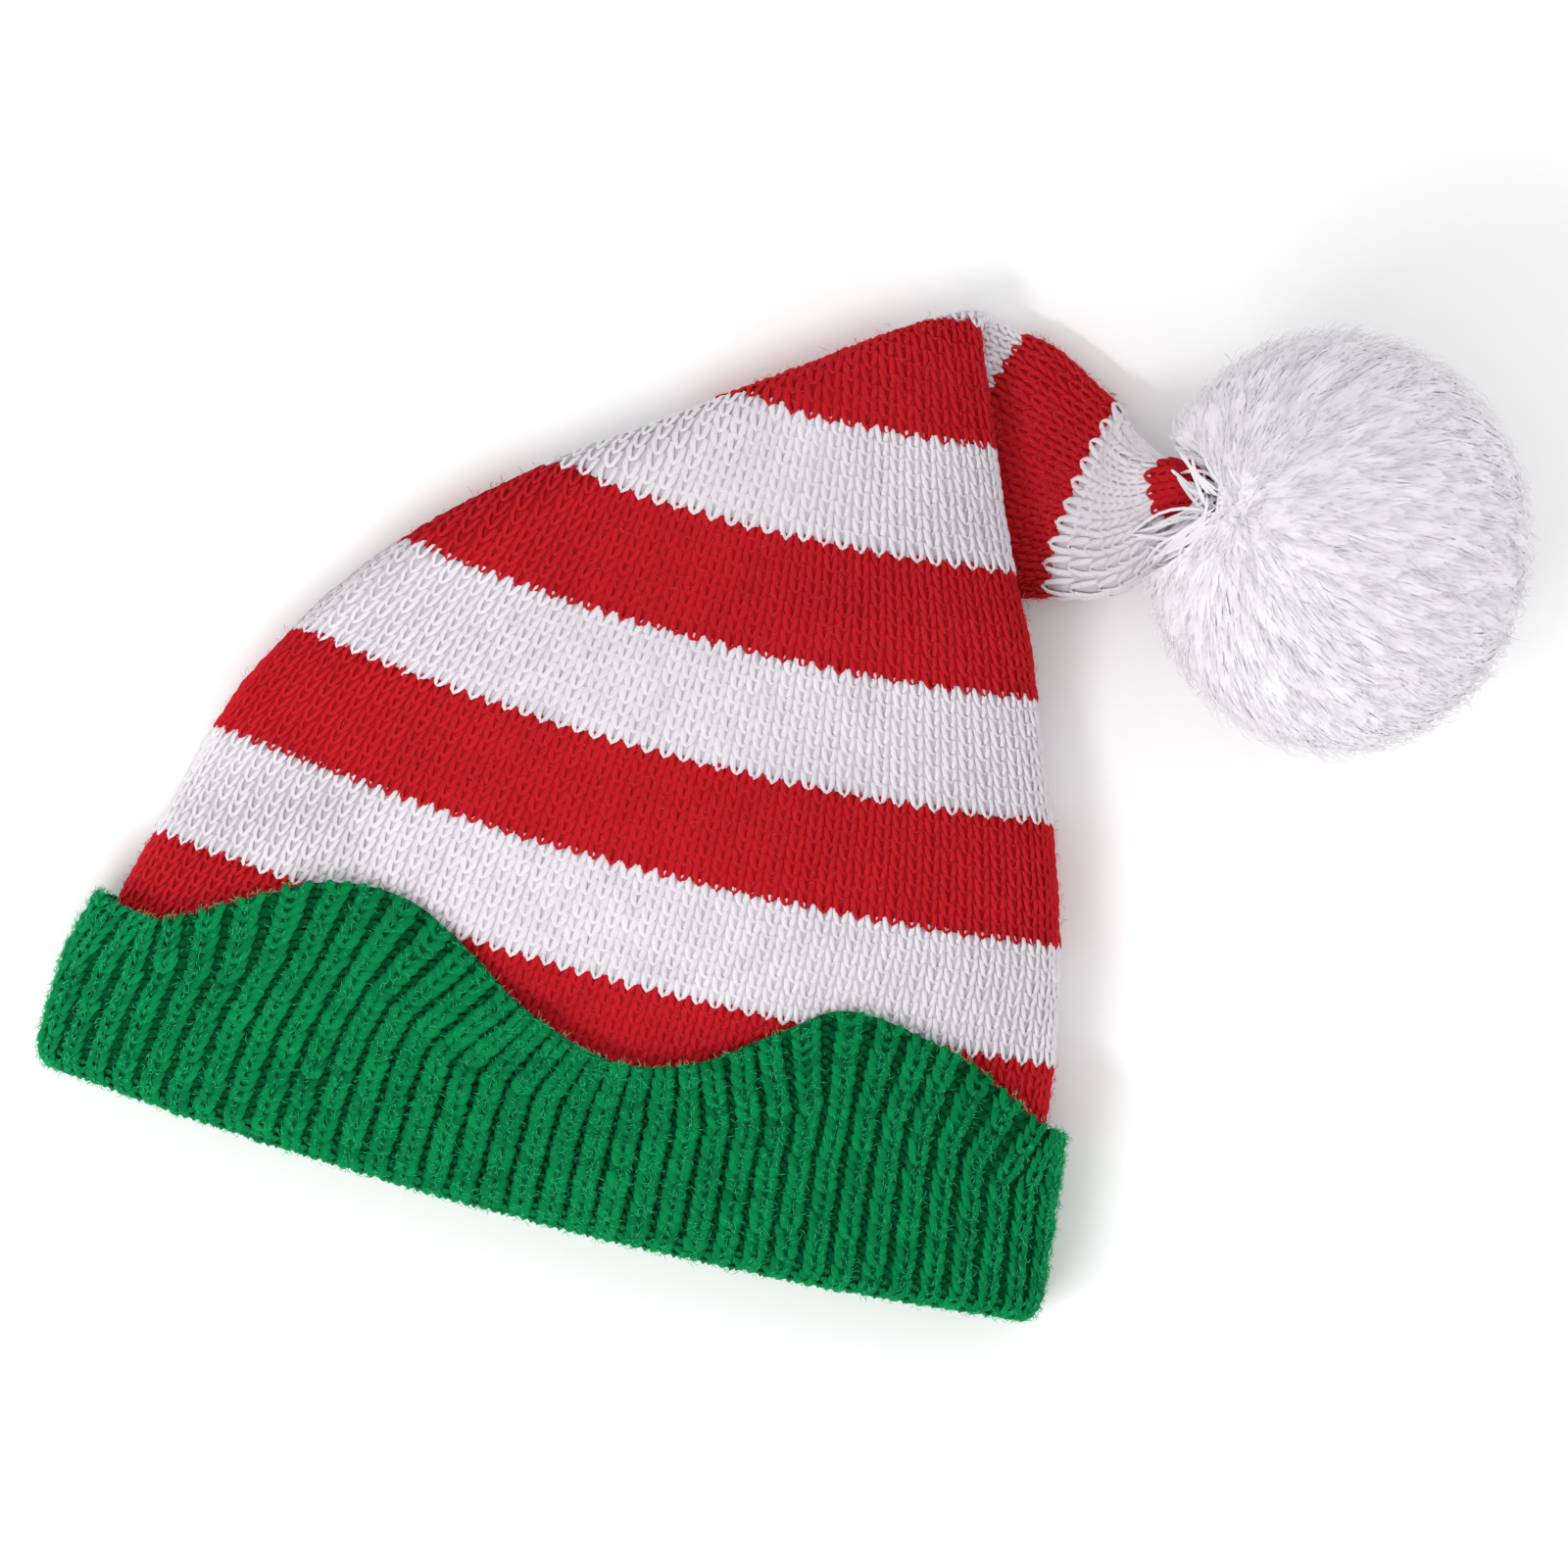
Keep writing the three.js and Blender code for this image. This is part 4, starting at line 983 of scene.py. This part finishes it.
def pompom_strands():
    """The cut strands of the ball, in tufts."""
    tuft = np.repeat(np.arange(TUFTS), TUFT_STRANDS)
    count = len(tuft)
    ends = spread_directions(TUFTS, TUFT_SPREAD)[tuft]
    ends = unit(ends + random.normal(0, STRAND_SPREAD, (count, 3)))
    lie = random.uniform(*TUFT_LIES, TUFTS)[tuft] + random.normal(0, STRAND_LIE_SPREAD, count)
    astray = random.normal(0, TUFT_SWERVE, TUFTS)[tuft] + random.normal(0, STRAND_SWERVE, count)
    end = random.normal(STRAND_END, TUFT_END_SPREAD, TUFTS)[tuft]
    end = end + random.normal(0, STRAND_END_SPREAD, count)
    tones = random.normal(STRAND_TONE, TUFT_TONE_SPREAD, TUFTS)[tuft]
    tones = tones + random.normal(0, STRAND_TONE_SPREAD, count)
    root = random.uniform(*STRAND_ROOTS, count)
    paths, facing, keep = fanned_strands(ends, lie, astray, root, end, STRAND_STEPS)
    paths, facing, tones = paths[keep], facing[keep], np.clip(tones[keep], 0, 1)
    thick = random.normal(1, STRAND_SIZE_SPREAD, len(paths))
    size = np.outer(thick, np.linspace(1.0, STRAND_TAPER, STRAND_STEPS))
    return yarn_tubes(paths, facing, STRAND_WIDE * size, STRAND_HIGH * size, POMPOM_SIDES, tones)


def lining_strands(points, triangles, kept):
    """Short strands on the walls of the hollow that the crown's tip goes into, which point out of it."""
    walls = triangles[kept[triangles].min(axis=1) < HOLLOW_SHARE]
    a, b, c = (points[walls[:, corner]] for corner in range(3))
    slant = np.cross(b - a, c - a)
    area = np.linalg.norm(slant, axis=1)
    wall = random.choice(len(walls), LINING_STRANDS, p=area / area.sum())
    share = random.dirichlet((1, 1, 1), LINING_STRANDS)
    roots = share[:, :1] * a[wall] + share[:, 1:2] * b[wall] + share[:, 2:] * c[wall]
    off_wall = unit(slant[wall])
    outwards = unit(pompom_direction(roots) + random.normal(0, LINING_SPREAD, roots.shape))
    along_wall = unit(outwards - np.einsum("ij,ij->i", outwards, off_wall)[:, None] * off_wall)
    t = np.linspace(0, 1, LINING_STEPS)[:, None]
    length = LINING_LENGTH * random.uniform(*LINING_LENGTHS, (LINING_STRANDS, 1, 1))
    lift = random.uniform(*LINING_LIFTS, (LINING_STRANDS, 1, 1))
    paths = roots[:, None] + length * t * along_wall[:, None] + (lift * t - LINING_SINK) * off_wall[:, None]
    inside = np.linalg.norm((paths[:, -1] - POMPOM_PLACE) / POMPOM_HALF, axis=1) < LINING_LIMIT
    paths, off_wall = paths[inside], off_wall[inside]
    clear = tip_distance(paths, False).min(axis=1) > TIP_CLEARANCE
    paths, off_wall = paths[clear], off_wall[clear]
    size = np.full(paths.shape[:2], STRAND_WIDE)
    facing = np.repeat(off_wall[:, None], LINING_STEPS, axis=1)
    return yarn_tubes(paths, facing, size, LINING_FLATNESS * size, POMPOM_SIDES, LINING_TONE)


def pompom_fuzz():
    """The finest fibres, which stand out from the ball's outline."""
    ends = spread_directions(FUZZ, TUFT_SPREAD)
    lie = random.uniform(*FUZZ_LIES, FUZZ)
    root = random.uniform(*FUZZ_ROOTS, FUZZ)
    end = random.normal(FUZZ_END, FUZZ_END_SPREAD, FUZZ)
    astray = random.normal(0, FUZZ_SWERVE, FUZZ)
    paths, facing, keep = fanned_strands(ends, lie, astray, root, end, FUZZ_STEPS)
    paths, facing = paths[keep], facing[keep]
    size = np.full(paths.shape[:2], FUZZ_RADIUS)
    return yarn_tubes(paths, facing, size, size, POMPOM_SIDES, FUZZ_TONE)


def ball_top(x, y):
    """How high the ball's upper side is at a place, or the crown's tip beside it."""
    across, along = turned(x - POMPOM_PLACE[0], y - POMPOM_PLACE[1], -POMPOM_TURN)
    out = (across / POMPOM_HALF[0]) ** 2 + (along / POMPOM_HALF[1]) ** 2
    rest = np.maximum(BALL_TOP_SHARE ** 2 - out, 0)
    return np.maximum(POMPOM_PLACE[2] + POMPOM_HALF[2] * np.sqrt(rest), TIP_TOP)


def tip_top(x, y):
    """How high the crown's tip is under a place, or 0 beside it."""
    top = np.zeros_like(x)
    for middle, radius in tip_balls(FINE_TIP_STEP):
        rest = radius ** 2 - (x - middle[0]) ** 2 - (y - middle[1]) ** 2
        top = np.maximum(top, np.where(rest > 0, middle[2] + np.sqrt(np.maximum(rest, 0)), 0))
    return top


def tie_strands():
    """The strands that run from beside the crown's tip to the tie, where the two are sewn together."""
    count = TIE_STRANDS + LOW_TIE_STRANDS
    heading = np.radians(random.uniform(*TIE_HEADINGS, TIE_STRANDS))
    far = random.uniform(*TIE_FAR, TIE_STRANDS)
    far = np.where(np.cos(heading) < OVER_TIP_HEADING, OVER_TIP_SHARE * far, far)
    low_heading = np.radians(random.uniform(*LOW_TIE_HEADINGS, LOW_TIE_STRANDS))
    heading = np.concatenate([heading, low_heading])
    far = np.concatenate([far, random.uniform(*LOW_TIE_FAR, LOW_TIE_STRANDS)])
    near = random.uniform(*TIE_NEAR, count)
    bow = random.normal(0, TIE_BOW, count)
    t = np.linspace(0, 1, TIE_STEPS)
    run = far[:, None] + (near - far)[:, None] * t
    aside = 4 * bow[:, None] * t * (1 - t) + random.normal(0, TIE_SWERVE, count)[:, None] * t
    x = TIE_PLACE[0] + run * np.cos(heading)[:, None] - aside * np.sin(heading)[:, None]
    y = TIE_PLACE[1] + run * np.sin(heading)[:, None] + aside * np.cos(heading)[:, None]
    over = ball_top(x, y)
    tip = tip_top(x[:, :1], y[:, :1])
    over = np.where(tip > 0, tip + (over[:, -1:] - tip) * t, over)
    z = over - TIE_SINK + random.uniform(0, TIE_UNEVEN, count)[:, None]
    z = z + TIE_ARCH * np.sin(math.pi * t) - TIE_START_SINK * (1 - t) ** 4
    paths = np.stack([x, y, z], axis=-1)
    facing = np.broadcast_to(TIE_FACING, paths.shape)
    size = np.full(paths.shape[:2], TIE_SIZE)
    return yarn_tubes(paths, facing, size, size, TIE_SIDES, TIE_TONE)


bpy.ops.mesh.primitive_ico_sphere_add(subdivisions=6, radius=1)
pompom_core = bpy.context.object
core_points = np.array([vertex.co for vertex in pompom_core.data.vertices])
core_faces = np.array([face.vertices for face in pompom_core.data.polygons])
bpy.ops.object.delete()
core_reach = np.full(len(core_points), POMPOM_CORE)
core_kept = parting(pompom_point(core_points, core_reach))
core_points = pompom_point(core_points, core_reach * core_kept)
core_points[:, 2] = np.maximum(core_points[:, 2], TABLE_CLEARANCE)
pompom_yarn = yarn_material("pompom yarn", (0.82, 0.785, 0.835), (0.965, 0.93, 0.98), 0.3, 0.05)
core_tones = np.full(len(core_points), POMPOM_CORE_TONE)
pompom_parts = [
    (core_points, core_faces, core_tones, np.zeros_like(core_points)),
    pompom_strands(),
    lining_strands(core_points, core_faces, core_kept),
    tie_strands(),
]
pompom_piece = yarn_piece("pompom_strands", pompom_parts, pompom_yarn, POMPOM_SOFTNESS)
fuzz_piece = yarn_piece("pompom_fuzz", [pompom_fuzz()], pompom_yarn, POMPOM_SOFTNESS)
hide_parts("pompom")
for piece in (pompom_piece, fuzz_piece):
    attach(piece, "root")

# Floor: a plain pale table top under soft studio light, seen from straight above as the hat was laid down.
# The floor, the lights and the camera belong to the studio and not to the hat.
FLOOR_SIZE = 6
FLOOR_DROP = 0.4 * MM
bpy.ops.mesh.primitive_plane_add(size=FLOOR_SIZE, location=(0, 0, -FLOOR_DROP))
floor = bpy.context.object
floor.name = "floor"
floor_look = bpy.data.materials.new("pale floor")
floor_look.use_nodes = True
floor_shader = floor_look.node_tree.nodes["Principled BSDF"]
set_inputs(floor_shader, {"Base Color": (0.95, 0.95, 0.95, 1), "Roughness": 0.9})
floor.data.materials.append(floor_look)

world = bpy.data.worlds.new("studio")
bpy.context.scene.world = world
world.use_nodes = True
set_inputs(world.node_tree.nodes["Background"], {"Color": (1, 1, 1, 1), "Strength": 0.94})


def soft_light(name, place, size, power):
    """A square studio light that looks at the hat."""
    bpy.ops.object.light_add(type="AREA", location=place)
    light = bpy.context.object
    light.name = name
    light.data.size = size
    light.data.energy = power
    aim = -np.array(place)
    tilt = math.atan2(math.hypot(aim[0], aim[1]), -aim[2])
    heading = math.atan2(aim[0], -aim[1])
    light.rotation_euler = (tilt, 0, heading)


soft_light("key_light", place=(-0.6, -1.1, 1.5), size=0.9, power=85)
soft_light("fill_light", place=(1.4, 0.8, 1.6), size=1.6, power=30)

# The photograph's width is measured at about the middle of the crown's height.
PHOTO_ROLL = math.radians(14.7)
PHOTO_WIDTH = 352.5 * MM
PHOTO_LEVEL = 20 * MM
CAMERA_X, CAMERA_Y, CAMERA_HEIGHT = 31 * MM, 20.2 * MM, 7.0
SENSOR_WIDTH = 36
bpy.ops.object.camera_add(location=(CAMERA_X, CAMERA_Y, CAMERA_HEIGHT), rotation=(0, 0, PHOTO_ROLL))
camera = bpy.context.object
camera.data.sensor_width = SENSOR_WIDTH
camera.data.lens = SENSOR_WIDTH * (CAMERA_HEIGHT - PHOTO_LEVEL) / PHOTO_WIDTH
bpy.context.scene.camera = camera
bpy.context.scene.view_settings.view_transform = "Standard"
